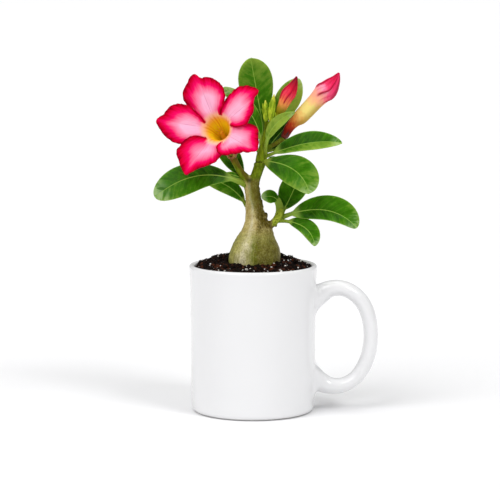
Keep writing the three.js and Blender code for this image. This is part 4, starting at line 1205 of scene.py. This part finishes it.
def trunk_relief(p, wrinkle):
    """How far the bark stands out: folds and lumps on the base, rings on the neck, grooves at old joints."""
    x, z = p[:, 0], p[:, 2]
    turn = round_stem(p)
    base = smooth((122 - z) / 18)
    neck = smooth((z - 100) / 12) * smooth((FORK - z) / 6)
    # lumps and folds, drawn out up the base, and a fine grain
    out = base * (0.42 * noise(p, 9, 1) + 0.22 * noise(p, (3.0, 3.0, 11), 2))
    out += 0.12 * noise(p, 1.7, 3) * (1 - 0.6 * smooth((z - 150) / 10))
    # rings and lumps on the neck
    out += wrinkle * neck * (noise(p, (7, 7, 1.3), 4) + 0.7 * noise(p, (4, 4, 0.85), 5))
    out += 0.3 * smooth((z - 118) / 8) * smooth((FORK - z) / 6) * noise(p, (3.2, 3.2, 4.5), 6)
    # two upright grooves in the base, and the ridge beside the first
    wobble = 0.09 * np.sin(z / 5.5)
    out -= 1.0 * base * bell(turn + 0.12 - wobble, 0.11) * smooth((z - SOIL_LINE) / 5)
    out -= 0.6 * base * bell(turn - 0.62 + wobble, 0.09) * smooth((z - SOIL_LINE) / 5)
    out += 0.5 * base * bell(turn + 0.38 - wobble, 0.16)
    # the joint on the right branch, the shoot's crack and a slanting groove on the left of the neck
    out -= 0.45 * bell(z - JOINT, 0.55) * (x > 0)
    out += 0.35 * bell(z - JOINT + 1.3, 0.9) * (x > 0)
    out -= 0.5 * bell((p - CRACK) @ unit(CRACK_ACROSS), 0.45) * near(p, CRACK, 6)
    out -= 0.3 * bell(z - 141.5 + 0.7 * x, 0.5) * (x < 0)
    return out


def trunk_colours(p):
    """Shares of each colour of bark by place on the stem, with painted shade on its right side, in the fork
    and on the large bud's stalk, and painted highlights in pale bands.
    """
    x, z = p[:, 0], p[:, 2]
    turn = round_stem(p) + 0.07 * noise(p, (9, 9, 7), 7) + 0.06 * noise(p, (2.6, 2.6, 4), 8)
    neck = smooth((z - 112) / 10) * smooth((FORK - z) / 5)
    base = smooth((120 - z) / 12)
    left_branch = smooth((-2.2 - x) / 1.8) * smooth((z - 146) / 5)
    right_branch = smooth((x + 2.2) / 2) * smooth((z - 148.5) / 6)
    shoot = smooth((x - 11.6) / 1.3) * smooth((136 - z) / 4) * smooth((z - 119) / 2)
    upper = smooth((z - 126) / 10)
    # The stem's right side, away from the light, where the shade is painted.
    dark_side = smooth((turn + 0.14 + 0.24 * upper) / (0.28 + 0.34 * upper)) * smooth((2.1 - turn) / 0.8)
    greening = 0.6 * upper * smooth((turn + 0.6) / 0.5)
    # The first of these is a painted highlight running up the stem left of its front. The second is a painted
    # highlight down the base's right edge, with a fainter pale band at its back left.
    highlight_band = base * bell(turn + 0.3, 0.14) + 0.9 * neck * bell(turn + 0.24, 0.13)
    pale_bands = 0.9 * base * bell(turn - 0.92, 0.16) + 0.5 * base * bell(turn + 1.6, 0.3)
    # Moss green in the base's fold and on its left, and more of it over its right side, where it adds to the
    # painted shade.
    folds = np.clip(bell(turn + 0.05, 0.13) + 0.6 * dark_side + 0.5 * bell(turn + 1, 0.3), 0, 1)
    moss_on_neck = 0.55 * neck * smooth((z - 128) / 12) * smooth((turn + 0.2) / 0.4)
    branch_shade = left_branch * smooth((x + 4.2 + 0.62 * (z - 148.8)) / 1.8 + 0.5)
    stem_shade = (0.7 * base + neck * (1 - 0.1 * upper)) * dark_side + branch_shade
    knots = (neck + 0.4 * base) * dark_side + 0.35 * base + 0.25 * neck
    # Painted shade in the crotch where the two branches part, laid on with the scars' colour.
    fork = near(p, (-2.4, -3, 149.5), 3) + near(p, (-2.2, 3, 149.5), 3)
    scars = sum(near(p, spot, spot[3] * 1.6) for spot in SCARS)
    groove = bell(z - JOINT, 0.5) * (x > 0)
    return {
        "tan": np.clip(neck + 0.9 * near(p, (10, -4, 120.5), 6), 0, 1),
        "pale": np.clip(highlight_band + pale_bands, 0, 1),
        "mossy": base * folds + moss_on_neck,
        # Painted shade: on the right side, on the left branch's right side, and on the large bud's stalk
        # among the leaves.
        "shaded": np.clip(stem_shade, 0, 1) * (1 - shoot) + 0.8 * smooth((x - 10) / 3) * bell(z - 172, 4),
        "young": np.clip(right_branch + smooth((z - 164) / 8) + left_branch + greening, 0, 1),
        "lime": np.clip(shoot, 0, 1),
        "rusty": 0.9 * (left_branch - branch_shade).clip(0, 1) * smooth((z - 158) / 5),
        # Dark scars, the dark joint ring, and the painted shade in the fork's crotch.
        "scar": np.clip(1.5 * scars + 0.85 * fork + 0.8 * groove, 0, 0.95),
        "ringed": bell(z - 121, 8) * bell(turn + 0.25, 0.3) + 0.07 * base,
        "knotty": np.clip(knots, 0, 1) * (1 - 0.5 * upper),
    }


class ROSE_OT_trunk(bpy.types.Operator):
    """Make the trunk: the swollen base, the neck, branches and flower stalks, grown together"""

    bl_idname = "rose.trunk"
    bl_label = "Trunk"

    def execute(self, context):
        settings = context.scene.rose_trunk
        bodies = [caudex_body(), *map(limb_body, LIMBS.values()), *(scar_body(*scar) for scar in SCARS)]
        trunk = new_object("trunk_stem", *joined(bodies))
        remesh = trunk.modifiers.new("Grow together", "REMESH")
        remesh.mode = "VOXEL"
        remesh.voxel_size = settings.grain
        remesh.use_smooth_shade = True
        soften = trunk.modifiers.new("Soften", "SMOOTH")
        soften.factor = 0.6
        soften.iterations = 7
        settle(trunk)
        p = (read_points(trunk, "co") - AXIS) / MM
        relief = trunk_relief(p, settings.wrinkle / MM)[:, None]
        write_points(trunk, p + read_points(trunk, "normal") * relief)
        for name, values in trunk_colours(p).items():
            write_attribute(trunk.data, name, values)
        finish_piece(trunk, ["trunk"], bark_finish(settings))
        return {"FINISHED"}


# ---------------------------------------------------------------- leaves

LEAF_ROWS = 56
LEAF_COLUMNS = 29
NO_TIP_SHEEN = ("top",)  # leaves whose tips get no painted sheen
STALK_THICKNESS = 1.0  # half of it
FRONT_GROOVE = 0.13  # depth of the groove along the midrib, and how far the midrib stands out behind
BACK_RIDGE = 0.75


def blade_width(v, half, peak, stalk, blunt, stalk_half):
    """Half width of a leaf along its midrib: a thin stalk, then a blade that is widest at its peak."""
    t = np.clip((v - stalk) / (1 - stalk), 0, 1)
    power = math.log(0.5) / math.log((peak - stalk) / (1 - stalk))
    blade = half * np.maximum(np.sin(np.pi * t**power), 0) ** blunt
    petiole = stalk_half + 0.5 * np.clip(1 - v / 0.12, 0, 1)  # a little wider at its foot
    return np.maximum(blade, petiole * np.clip((1 - v) * 12, 0.3, 1))


def bent_line(start, control, end, t):
    """Places and directions at t on an even bend from start to end, drawn towards the control point."""
    places = (1 - t) ** 2 * start + 2 * t * (1 - t) * control + t**2 * end
    return places, unit(2 * (1 - t) * (control - start) + 2 * t * (end - control))


def leaf_piece(name, leaf, phase, settings, material):
    """One leaf: a sheet bent along its midrib and folded at it, waved towards its edges and given a body."""
    base, middle, tip, face, left, right, fold, peak, stalk, blunt, left_tone, right_tone = leaf
    base, middle, tip = (np.array(p, float) for p in (base, middle, tip))
    v = (1 - (1 - np.linspace(0, 1, LEAF_ROWS)) ** 1.5)[:, None]
    u = np.linspace(1, -1, LEAF_COLUMNS)[None]
    midrib, along = bent_line(base, 2 * middle - base / 2 - tip / 2, tip, v)
    across = unit(np.cross(face, along))
    normal = np.cross(along, across)
    stalk_half = BROAD_STALKS.get(name, STALK_WIDTH)
    sides = zip((left, right), np.broadcast_to(peak, 2))
    width_left, width_right = (blade_width(v, half, at, stalk, blunt, stalk_half) for half, at in sides)
    width = np.where(u > 0, width_left, width_right)
    d = u * width
    blade = smooth((v - stalk) / 0.15) + 0 * u
    bend = math.radians(fold)
    height = math.tan(bend) * (np.sqrt(d * d + 1) - 1)
    height += 0.45 * u * u * blade * np.sin(9 * v + 2 * u + phase)
    height += 0.3 * blade * (1 - u * u) * np.sin(5 * v + 1.7 * phase) - 0.3 * blade * u**4
    points = midrib[:, None] + across[:, None] * (d * math.cos(bend))[..., None]
    points = points + normal[:, None] * height[..., None]
    blade, d, width, u, v = (np.ravel(a) for a in (blade, d, width, u + 0 * v, v + 0 * u))
    body = mix(settings.thickness, settings.margin, np.abs(u) ** 2) / MM / 2
    stalk_body = STALK_THICKNESS * np.sqrt(np.clip(1 - u**2, 0.02, 1))
    front = mix(stalk_body * 0.75, body - FRONT_GROOVE * bell(d, 0.55), blade)
    back = mix(stalk_body, body + BACK_RIDGE * bell(d, 0.8) * (1 - 0.75 * v), blade)
    side_tone = mix(right_tone, left_tone, smooth(d / 1.6 + 0.5))
    facts = {
        "across": d,
        "along": v * np.linalg.norm(tip - base),
        "edge": (1 - np.abs(u)) * width,
        "blade": blade,
        # Where a pale, painted sheen lies near the tip.
        "tip": smooth((v - 0.82) / 0.16) * (name not in NO_TIP_SHEEN),
        # Darker towards the stalk, where the leaves shade one another, as painted shade. The last term is a
        # painted highlight at the tip. The margins are a little lighter.
        "tone": side_tone + 0.42 * (v - 0.66) + 0.24 * u**4 + 0.16 * smooth((v - 0.86) / 0.14),
        "rib": settings.midrib / MM * mix(1.4, 0.55, v),
    }
    attributes = {key: np.tile(values, 2) for key, values in facts.items()}
    attributes["under"] = np.repeat([0, 1], len(d))
    shell = thicken(points.reshape(-1, 3), quads(LEAF_ROWS, LEAF_COLUMNS), front, back)
    item = new_object("leaf_blade_" + name, *shell, attributes)
    finish_piece(item, ["leaf_" + name], material)


class ROSE_OT_leaves(bpy.types.Operator):
    """Make the leaves, each with its midrib, side veins and stalk"""

    bl_idname = "rose.leaves"
    bl_label = "Leaves"

    def execute(self, context):
        settings = context.scene.rose_leaf
        material = leaf_finish(settings)
        for i, (name, leaf) in enumerate(LEAVES.items()):
            leaf_piece(name, leaf, i * LEAF_PHASE, settings, material)
        return {"FINISHED"}


# ---------------------------------------------------------------- bloom

PETAL_COLUMNS = 73
PETAL_ROWS = 36
TUBE_ROWS = 34
TUBE_LENGTH = 30
TUBE_GAP = 1.9  # from the stalk's end to the tube's
TUBE_BEND = 14  # how far the tube's bend lies behind the petals' plane
LIP_DROP = 2.6  # how far the throat lies behind the petals' plane
LIP_WIDTH = 4.4  # how far from the throat's edge the petals start to turn into it
THROAT_EDGE = 9  # where the petals start, from the throat's middle, and where their middles lie
PETAL_MIDDLE = 22
CUP = 6.5  # how far the petals stand forward at their tips, and the distance over which they get there
CUP_LENGTH = 28
TILT = 0.16  # overlap of the petals, like a pinwheel
LEAN = (0.4, 0.6, 0.5, 0, 0)  # how far each petal's red band is wider towards the left and the top
BAND = (1.05, 1.08, 1.3, 0.92, 0.86)  # how wide that band is
CRINKLES = ((0.42, 2.9), (0.32, 1.25))  # depth and length of the crinkles along a petal's edge
EDGE_SAMPLES = 600
HALF_PETAL = 36  # degrees from a petal's middle line to the next petal
TUBE_INSET = 12.0  # the tube's finish is that of a place this far from a petal's edge
CONE = ((17, 1.9), (8.5, 0.5))  # the anthers' cone: depth below the mouth and radius at its foot and tip
HAIR = ((12, 0.34), (2.5, 0.12))  # and the same for each hair


def bloom_axes():
    """The way the bloom faces, its right and its top."""
    forward = unit(BLOOM_FACING)
    right = unit(np.cross((0, 0, 1), forward))
    return forward, right, np.cross(forward, right)


def bloom_tube(t):
    """Places and directions along the tube, from its cup to the throat."""
    forward, _, _ = bloom_axes()
    throat = np.array(BLOOM_CENTRE) - forward * LIP_DROP
    bend = np.array(BLOOM_CENTRE) - forward * TUBE_BEND
    end = np.array(LIMBS["left_branch"][-1][:3], float)
    return bent_line(end + unit(bend - end) * TUBE_GAP, bend, throat, t[:, None])


def petal_outline(index):
    """A petal's crinkled edge from notch to notch, in the bloom's plane: even points, then all fine ones."""
    _, marks = PETALS[index]
    turn, reach = np.radians([m[0] for m in marks]), np.array([m[1] for m in marks])
    knots = np.column_stack([reach * np.cos(turn), reach * np.sin(turn), 0 * turn])
    line, along = spline(knots, np.linspace(0, 1, EDGE_SAMPLES))
    run = np.append(0, np.cumsum(np.linalg.norm(np.diff(line, axis=0), axis=1)))
    spot = np.column_stack([run, np.full(len(run), 37 * index), 0 * run])
    crinkle = sum(depth * noise(spot, size, seed) for seed, (depth, size) in enumerate(CRINKLES))
    outwards = np.cross(along, (0, 0, 1))
    line = line + outwards * (crinkle * np.clip(np.minimum(run, run[-1] - run) / 6, 0, 1))[:, None]
    even = np.linspace(0, run[-1], PETAL_COLUMNS)
    return np.stack([np.interp(even, run, line[:, k]) for k in (0, 1)], -1), line[:, :2]


def petal_sheet(index, settings):
    """One petal as an open sheet from the throat's edge to its outline, with what its colours need."""
    angle, marks = PETALS[index]
    edge, fine_edge = petal_outline(index)
    u = np.linspace(-1, 1, PETAL_COLUMNS)[None]
    v = np.linspace(0, 1, PETAL_ROWS)[:, None]
    root = np.radians(mix(marks[0][0], marks[-1][0], (u + 1) / 2))
    root_radius = TUBE[0][1]
    x = mix(root_radius * np.cos(root), edge[:, 0], v)
    y = mix(root_radius * np.sin(root), edge[:, 1], v)
    r = np.hypot(x, y)
    spots = np.stack([x, y], -1).reshape(-1, 1, 2)
    inset = np.linalg.norm(spots - fine_edge[::3], axis=-1).min(1).reshape(x.shape)
    rise = np.clip((r - 9.3) / CUP_LENGTH, 0, 1)
    # cupped, tilted and waved
    height = CUP * np.sin(rise * np.pi / 2) - TILT * y * np.sqrt(rise)
    height += 0.5 * v**2 * np.sin(9 * u + 1.7 * index)
    # ruffled at the edge
    ruffle = settings.ruffle / MM * bell(inset, 2.6) * smooth(rise * 3)
    height += ruffle * (np.sin(24 * u + 2.1 * index) + 0.5 * np.sin(57 * u + index))
    # a crease along the middle, sides that droop, fine ribs and a front edge that stands up by the throat
    height -= 0.75 * bell(y, 2.0) * smooth((r - THROAT_EDGE) / 6) * smooth(inset / 6)
    height -= 0.012 * y**2 * smooth((r - 14) / 8)
    height += 0.12 * np.cos(18 * root) * smooth((r - 10) / 5) * smooth(inset / 6)
    height += 1.0 * smooth(-y / 3) * bell(inset, 1.7) * bell(r - 12, 6)
    # turned into the throat
    height -= LIP_DROP * np.clip(1 - (r - root_radius) / LIP_WIDTH, 0, 1) ** 2.2
    forward, right, up = bloom_axes()
    a = math.radians(angle)
    aside, above = x * math.cos(a) - y * math.sin(a), x * math.sin(a) + y * math.cos(a)
    points = np.array(BLOOM_CENTRE) + right * aside[..., None] + up * above[..., None]
    points = points + forward * height[..., None]
    aside, above = aside - PETAL_MIDDLE * math.cos(a), above - PETAL_MIDDLE * math.sin(a)
    lean = (0.5 * above - 0.85 * aside) / (np.hypot(aside, above) + 3)
    reach = np.clip((r - THROAT_EDGE) / (max(m[1] for m in marks) - THROAT_EDGE), 0, 1)
    band = mix(0.6, 1.45, smooth(reach * 1.1)) * (1 + LEAN[index] * lean) * BAND[index]
    band = band * (1 - 0.28 * bell(y, 2.2) * smooth(reach * 2 - 0.6))
    facts = {
        "inset": (inset + 1.8 * bell(y, 2.0) * smooth((r - 12) / 8)) / band,
        "fan": np.degrees(np.arctan2(y, x)) / HALF_PETAL + 0 * v,
        "depth": root_radius - r,
    }
    return points, facts


class ROSE_OT_bloom(bpy.types.Operator):
    """Make the open bloom: a bent tube that widens into five overlapping petals"""

    bl_idname = "rose.bloom"
    bl_label = "Bloom"

    def execute(self, context):
        settings = context.scene.rose_bloom
        sheets = [petal_sheet(i, settings) for i in range(len(PETALS))]
        span = PETAL_COLUMNS - 1
        columns = len(PETALS) * span
        fan = np.concatenate([facts["fan"][0, :-1] for _, facts in sheets])
        angle = np.radians(np.repeat([petal[0] for petal in PETALS], span) + fan * HALF_PETAL)
        depth = TUBE_LENGTH * np.linspace(1, 0, TUBE_ROWS) ** 1.6
        path, along = bloom_tube(1 - depth / TUBE_LENGTH)
        depths, inner, outer = np.transpose(TUBE)
        tube = rings(path, along, np.interp(depth, depths, inner), angle, (0, 0, 1))
        tube[-1] = np.concatenate([points[0, :-1] for points, _ in sheets])
        points, faces = [tube.reshape(-1, 3)], quads(TUBE_ROWS, columns, around=True)
        count = TUBE_ROWS * columns
        facts = {
            "inset": [np.full(count, TUBE_INSET)],
            "fan": [np.tile(fan, TUBE_ROWS)],
            "depth": [np.repeat(depth, columns)],
        }
        root_row = count - columns
        for i, (petal, petal_facts) in enumerate(sheets):
            root = [root_row + (i * span + k) % columns for k in range(PETAL_COLUMNS)]
            rest = count + np.arange((PETAL_ROWS - 1) * PETAL_COLUMNS).reshape(-1, PETAL_COLUMNS)
            index = np.vstack([root, rest]).ravel()
            faces += index[np.array(quads(PETAL_ROWS, PETAL_COLUMNS))].tolist()
            points.append(petal[1:].reshape(-1, 3))
            for key, values in petal_facts.items():
                facts[key].append(values[1:].ravel())
            count += rest.size
        facts = {key: np.concatenate(values) for key, values in facts.items()}
        half = settings.thickness / MM / 2 * mix(0.6, 1.0, smooth(facts["inset"] / 3))
        wall = np.interp(facts["depth"], depths, outer - inner) - half
        attributes = {key: np.tile(values, 2) for key, values in facts.items()}
        attributes["under"] = np.repeat([1, 0], count)
        bloom = new_object("bloom_petals", *thicken(np.vstack(points), faces, wall, half), attributes)
        finish_piece(bloom, ["bloom"], petal_finish(settings))
        finish_piece(self.anthers(), [], anther_finish(settings))
        return {"FINISHED"}

    @staticmethod
    def anthers():
        """The five anthers joined in a cone, and the hairs that they send up to the throat's mouth."""

        def strand(ends, rows, sides, ridge=0, lean=0, swing=0):
            (low, wide), (high, narrow) = ends
            path, along = bloom_tube(1 - np.linspace(low, high, rows) / TUBE_LENGTH)
            _, right, up = bloom_axes()
            path = path + np.outer(lean * np.cos(swing), right) + np.outer(lean * np.sin(swing), up)
            ridged = 1 + ridge * np.cos(len(PETALS) * corners(sides))
            radii = np.outer(np.linspace(wide, narrow, rows), ridged)
            return closed_loft(rings(path, along, radii, corners(sides), (0, 0, 1)))

        bodies = [strand(CONE, 20, 40, ridge=0.14)]
        t = np.linspace(0, 1, 16)
        for turn in corners(len(PETALS)) + 0.3:
            bodies.append(strand(HAIR, len(t), 8, lean=0.8 + 1.6 * t**1.5, swing=turn + 0.5 * t))
        return new_object("bloom_anthers", *joined(bodies))


# ---------------------------------------------------------------- buds and their cups

BUD_SIDES = 100
BUD_ROWS = 120
PETAL_EDGE = 0.9  # where each folded petal's edge lies, as a share of its fifth of the way round
GREEN_BUD_SIDES = 40
SEPAL_ROWS = 12
SEPAL_COLUMNS = 7
SEPAL_THICKNESS = 0.16  # half of it
CUP_SIDES = 60
CUP_ROWS = 14
CUP_FLOOR_ROW = 3  # the row at which a cup's hollow ends
CUP_INSIDE = 0.84  # the cup's inner width as a share of its outer one
CUP_HEIGHT = 1.9
CUP_TOOTH = 3.2  # height of a cup's teeth over that
FOLDED_BUDS = (  # piece, points, 1 for the red one, where its folds start, how they twist and where they lie
    ("bud_large", LARGE_BUD, 0, 0.6, 0.55, 0.45),
    ("bud_red", RED_BUD, 1, 0.36, 0.3, 0.2),
)
# Sepals: distance from the bud's middle, height, half width, turn and how far they lean out.
RED_SEPALS = (1.9, 4.6, 1.2, 0.0, 0.25)
GREEN_SEPALS = ((1.2, 8.5, 1.1, 0.4, 0.12), (1.4, 12, 1.1, 1.0, 0.02))
BUD_FACTS = ("along", "side", "crease", "band", "red", "leafy")


def folded_bud(knots, fold_from, twist, start, settings):
    """A bud of five petals wound round each other: each petal's edge is a step that winds up to the tip."""
    path, along = spline(knots, np.linspace(0, 1, BUD_ROWS))
    run = np.append(0, np.cumsum(np.linalg.norm(np.diff(path[:, :3], axis=0), axis=1)))
    run = run / run[-1]
    angle = corners(BUD_SIDES)
    beyond = smooth((run - fold_from) / (1 - fold_from) / 0.5)[:, None]
    share = (5 * (angle - twist * beyond) / (2 * np.pi) + start) % 1
    past_fold = run[:, None] - fold_from + 0.05 * np.cos(angle + 0.6)
    folded = smooth(past_fold / 0.07)
    step = np.where(share < PETAL_EDGE, share / PETAL_EDGE, (1 - share) / (1 - PETAL_EDGE))
    radii = path[:, 3:] * (1 + settings.fold * folded * (step - 0.6))
    # Dark lines at each folded petal's edge and down its middle: partly the crimson of the petal edges,
    # partly painted shade in the folds.
    edge = folded * (bell(share - PETAL_EDGE, 0.1) + 0.35 * bell(share - 0.42, 0.07))
    band = smooth((share - 0.55) / 0.35) * (share < 0.93) * smooth(past_fold / 0.3)
    return rings(path[:, :3], along, radii, angle, (0, 1, 0)), run, edge, folded * band


def ridged_bud(knots):
    """A young bud, ridged where its sepals meet."""
    t = np.linspace(0, 1, GREEN_BUD_SIDES)
    path, along = spline(knots, t)
    angle = corners(GREEN_BUD_SIDES)
    radii = path[:, 3:] * (1 + 0.12 * np.cos(5 * angle + 1.5 * t[:, None]))
    return rings(path[:, :3], along, radii, angle, (0, 1, 0)), t, along[0]


def sideways_of(along):
    """Two directions across a stalk."""
    across = unit(np.cross((0, 1, 0), along))
    return across, np.cross(along, across)


def sepals(foot, along, radius, tall, wide, turn, flare):
    """Small pointed leaves round the foot of a bud, each a closed body."""
    across, other = sideways_of(along)
    v = np.linspace(0, 1, SEPAL_ROWS)[:, None, None]
    u = np.linspace(-1, 1, SEPAL_COLUMNS)[None, :, None]
    width = wide * (1 - v) ** 0.85 * (0.25 + 1.9 * v)
    lean = radius * (0.6 + 0.4 * smooth(v * 5)) + flare * tall * v**2 - 0.35 * (u * width) ** 2 / radius
    half = np.full(SEPAL_ROWS * SEPAL_COLUMNS, SEPAL_THICKNESS)
    made = []
    for a in corners(5) + turn:
        out = across * math.cos(a) + other * math.sin(a)
        points = np.array(foot) + along * (v * tall - 0.4) + out * lean + np.cross(along, out) * (u * width)
        made.append(thicken(points.reshape(-1, 3), quads(SEPAL_ROWS, SEPAL_COLUMNS), half, half))
    return made


def cup_body(foot, along, foot_radius, mouth_radius):
    """A five-toothed cup round the foot of a flower, closed below."""
    across, other = sideways_of(along)
    angle = corners(CUP_SIDES)
    level = (0.5 + 0.5 * np.cos(5 * angle)) ** 2.5
    s = np.linspace(0, 1, CUP_ROWS)[:, None]
    radius = mix(foot_radius, mouth_radius, smooth(s * 1.6))
    top = s * CUP_HEIGHT + CUP_TOOTH * level * smooth((s - 0.4) / 0.6)
    r = radius * (1 + 0.05 * np.cos(5 * angle)) + 0.5 * level * smooth((s - 0.5) / 0.5)
    outer = np.array(foot) + top[..., None] * along
    outer = outer + (r * np.cos(angle))[..., None] * across + (r * np.sin(angle))[..., None] * other
    middle = outer.mean(1, keepdims=True)
    inner = middle + (outer - middle) * CUP_INSIDE
    grid = np.concatenate([outer, inner[: CUP_FLOOR_ROW - 1 : -1]])
    share = np.concatenate([s[:, 0], np.linspace(1, 0.23, CUP_ROWS - CUP_FLOOR_ROW)])
    return grid, np.outer(smooth((share - 0.45) / 0.4), level)


class ROSE_OT_buds(bpy.types.Operator):
    """Make the large bud, the red bud and the two green ones"""

    bl_idname = "rose.buds"
    bl_label = "Buds"

    def execute(self, context):
        settings = context.scene.rose_bud
        material = bud_finish(settings)
        ends = (0, 1)  # values at the two points that close a bud
        for name, knots, red, *folds in FOLDED_BUDS:
            grid, t, crease, band = folded_bud(knots, *folds, settings)
            facts = {
                "along": np.append(np.repeat(t, BUD_SIDES), ends),
                "side": np.append(np.tile(np.cos(corners(BUD_SIDES)), BUD_ROWS), (0, 0)),
                "crease": np.append(crease.ravel(), ends),
                "band": np.append(band.ravel(), ends),
                "red": np.full(BUD_ROWS * BUD_SIDES + 2, red),
                "leafy": np.zeros(BUD_ROWS * BUD_SIDES + 2),
            }
            bodies = [closed_loft(grid)]
            if red:
                foot, second = knots[0][:3], knots[1][:3]
                bodies += sepals(foot, unit(np.subtract(second, foot)), *RED_SEPALS)
            self.add(name, "bud", bodies, facts, material)
        for name, knots in GREEN_BUDS.items():
            grid, t, along = ridged_bud(knots)
            facts = {"along": np.append(np.repeat(t, GREEN_BUD_SIDES), ends)}
            bodies = [closed_loft(grid)]
            for kind in GREEN_SEPALS:
                bodies += sepals(knots[0][:3], along, *kind)
            self.add(name, "green_bud", bodies, facts, material)
        return {"FINISHED"}

    @staticmethod
    def add(name, slot, bodies, facts, material):
        """One bud with its sepals. A fact that isn't given is 0, but for leafy, which is then 1."""
        points, faces = joined(bodies)
        attributes = {}
        for key in BUD_FACTS:
            given = facts.get(key, ())
            attributes[key] = np.append(given, np.full(len(points) - len(given), float(key == "leafy")))
        finish_piece(new_object(name + "_petals", points, faces, attributes), [name], material)


class ROSE_OT_cups(bpy.types.Operator):
    """Make the toothed cups at the feet of the bloom and the large bud"""

    bl_idname = "rose.cups"
    bl_label = "Cups"

    def execute(self, context):
        brown = cup_finish("sepal_brown", "6e1e0e", "2c0e08")
        russet = cup_finish("sepal_russet", "a4683a", "9c7c34")
        bloom_foot = bloom_tube(np.array([0.0]))[0][0]
        seats = (  # the piece, its stalk, where its flower starts, its gap, foot and mouth radius, its finish
            ("bud_large_calyx", "large_bud_stalk", LARGE_BUD[0][:3], 0.7, 1.9, 2.5, brown),
            ("bloom_calyx", "left_branch", bloom_foot, 0.8, 2.7, 3.4, russet),
        )
        for name, stalk, flower, gap, foot_radius, mouth_radius, material in seats:
            end = np.array(LIMBS[stalk][-1][:3], float)
            along = unit(flower - end)
            grid, tooth = cup_body(end + along * gap, along, foot_radius, mouth_radius)
            item = new_object(name + "_cup", *closed_loft(grid), {"tooth": np.append(tooth.ravel(), (0, 0))})
            finish_piece(item, [name], material)
        return {"FINISHED"}


# ---------------------------------------------------------------- stage

CAMERA_TILT = 7.23  # degrees below level
CAMERA_SIDE = -2  # how far it stands to the right of the mug's axis
FLOOR_REACH = 40000  # from its middle to each side
LIGHTS = {  # where each soft light shines from, its spread in degrees and its strength
    "key": ((-0.65, -0.6, 0.95), 42, 1.42),
    "side": ((0.75, -0.75, 1.05), 20, 1.1),
    "top": ((-0.05, 0.1, 1), 60, 0.85),
}


def soft_sun(name, towards, spread, strength):
    """A light as wide as a softbox that reaches the whole floor evenly, shining from that direction."""
    lamp = bpy.data.lights.new(name, "SUN")
    lamp.angle = math.radians(spread)
    lamp.energy = strength
    item = bpy.data.objects.new(name, lamp)
    item.rotation_mode = "QUATERNION"
    item.rotation_quaternion = Vector(towards).to_track_quat("Z", "Y")
    bpy.context.scene.collection.objects.link(item)


def white_room(ambient):
    """A world that looks white behind the floor and fills the shadows softly."""
    world = bpy.data.worlds.new("white_room")
    world.use_nodes = True
    tree = world.node_tree
    seen = tree.nodes["Background"]
    seen.inputs["Color"].default_value = (1, 1, 1, 1)
    fill = add_node(tree, "ShaderNodeBackground", {"Strength": ambient})
    path = add_node(tree, "ShaderNodeLightPath")
    backdrops = {0: path.outputs["Is Camera Ray"], 1: fill.outputs[0], 2: seen.outputs[0]}
    blend = add_node(tree, "ShaderNodeMixShader", backdrops)
    tree.links.new(blend.outputs[0], tree.nodes["World Output"].inputs[0])
    return world


class ROSE_OT_stage(bpy.types.Operator):
    """Make the floor, the soft lights and the camera"""

    bl_idname = "rose.stage"
    bl_label = "Stage"

    def execute(self, context):
        settings = context.scene.rose_stage
        scene = context.scene
        camera = bpy.data.cameras.new("camera")
        camera.lens = settings.focal
        camera.clip_end = 100
        item = bpy.data.objects.new("camera", camera)
        item.location = (AXIS[0] + CAMERA_SIDE * MM, AXIS[1] - settings.distance, settings.camera_height)
        item.rotation_euler = (math.radians(90 - CAMERA_TILT), 0, 0)
        scene.collection.objects.link(item)
        scene.camera = item
        square = [(x * FLOOR_REACH, y * FLOOR_REACH, 0) for x, y in ((-1, -1), (1, -1), (1, 1), (-1, 1))]
        floor = new_object("floor", square, [[0, 1, 2, 3]], turn_out=False)
        plain = Finish("floor_white", Roughness=0.6, Specular_IOR_Level=0.1, Base_Color=rgba(settings.floor))
        floor.data.materials.append(plain.material)
        for name, light in LIGHTS.items():
            soft_sun(name, *light)
        scene.world = white_room(settings.ambient)
        scene.view_settings.view_transform = "Standard"
        return {"FINISHED"}


# ---------------------------------------------------------------- panel and start

OPERATORS = (
    ROSE_OT_stage, ROSE_OT_mug, ROSE_OT_soil, ROSE_OT_trunk,
    ROSE_OT_leaves, ROSE_OT_bloom, ROSE_OT_buds, ROSE_OT_cups,
)


class ROSE_PT_pieces(bpy.types.Panel):
    """Lists the operators that make the pieces"""

    bl_label = "Desert rose"
    bl_idname = "ROSE_PT_pieces"
    bl_space_type = "VIEW_3D"
    bl_region_type = "UI"
    bl_category = "Desert rose"

    def draw(self, context):
        for operator in OPERATORS:
            self.layout.operator(operator.bl_idname)
        for key, kind in SETTINGS.items():
            box = self.layout.box()
            for name in kind.__annotations__:
                box.prop(getattr(context.scene, key), name)


def register():
    for kind in (*SETTINGS.values(), *OPERATORS, ROSE_PT_pieces):
        bpy.utils.register_class(kind)
    for key, kind in SETTINGS.items():
        setattr(bpy.types.Scene, key, bpy.props.PointerProperty(type=kind))


def unregister():
    for key in SETTINGS:
        delattr(bpy.types.Scene, key)
    for kind in reversed((*SETTINGS.values(), *OPERATORS, ROSE_PT_pieces)):
        bpy.utils.unregister_class(kind)


def main():
    register()
    for operator in OPERATORS:
        group, name = operator.bl_idname.split(".")
        getattr(getattr(bpy.ops, group), name)()


if __name__ == "__main__":
    main()
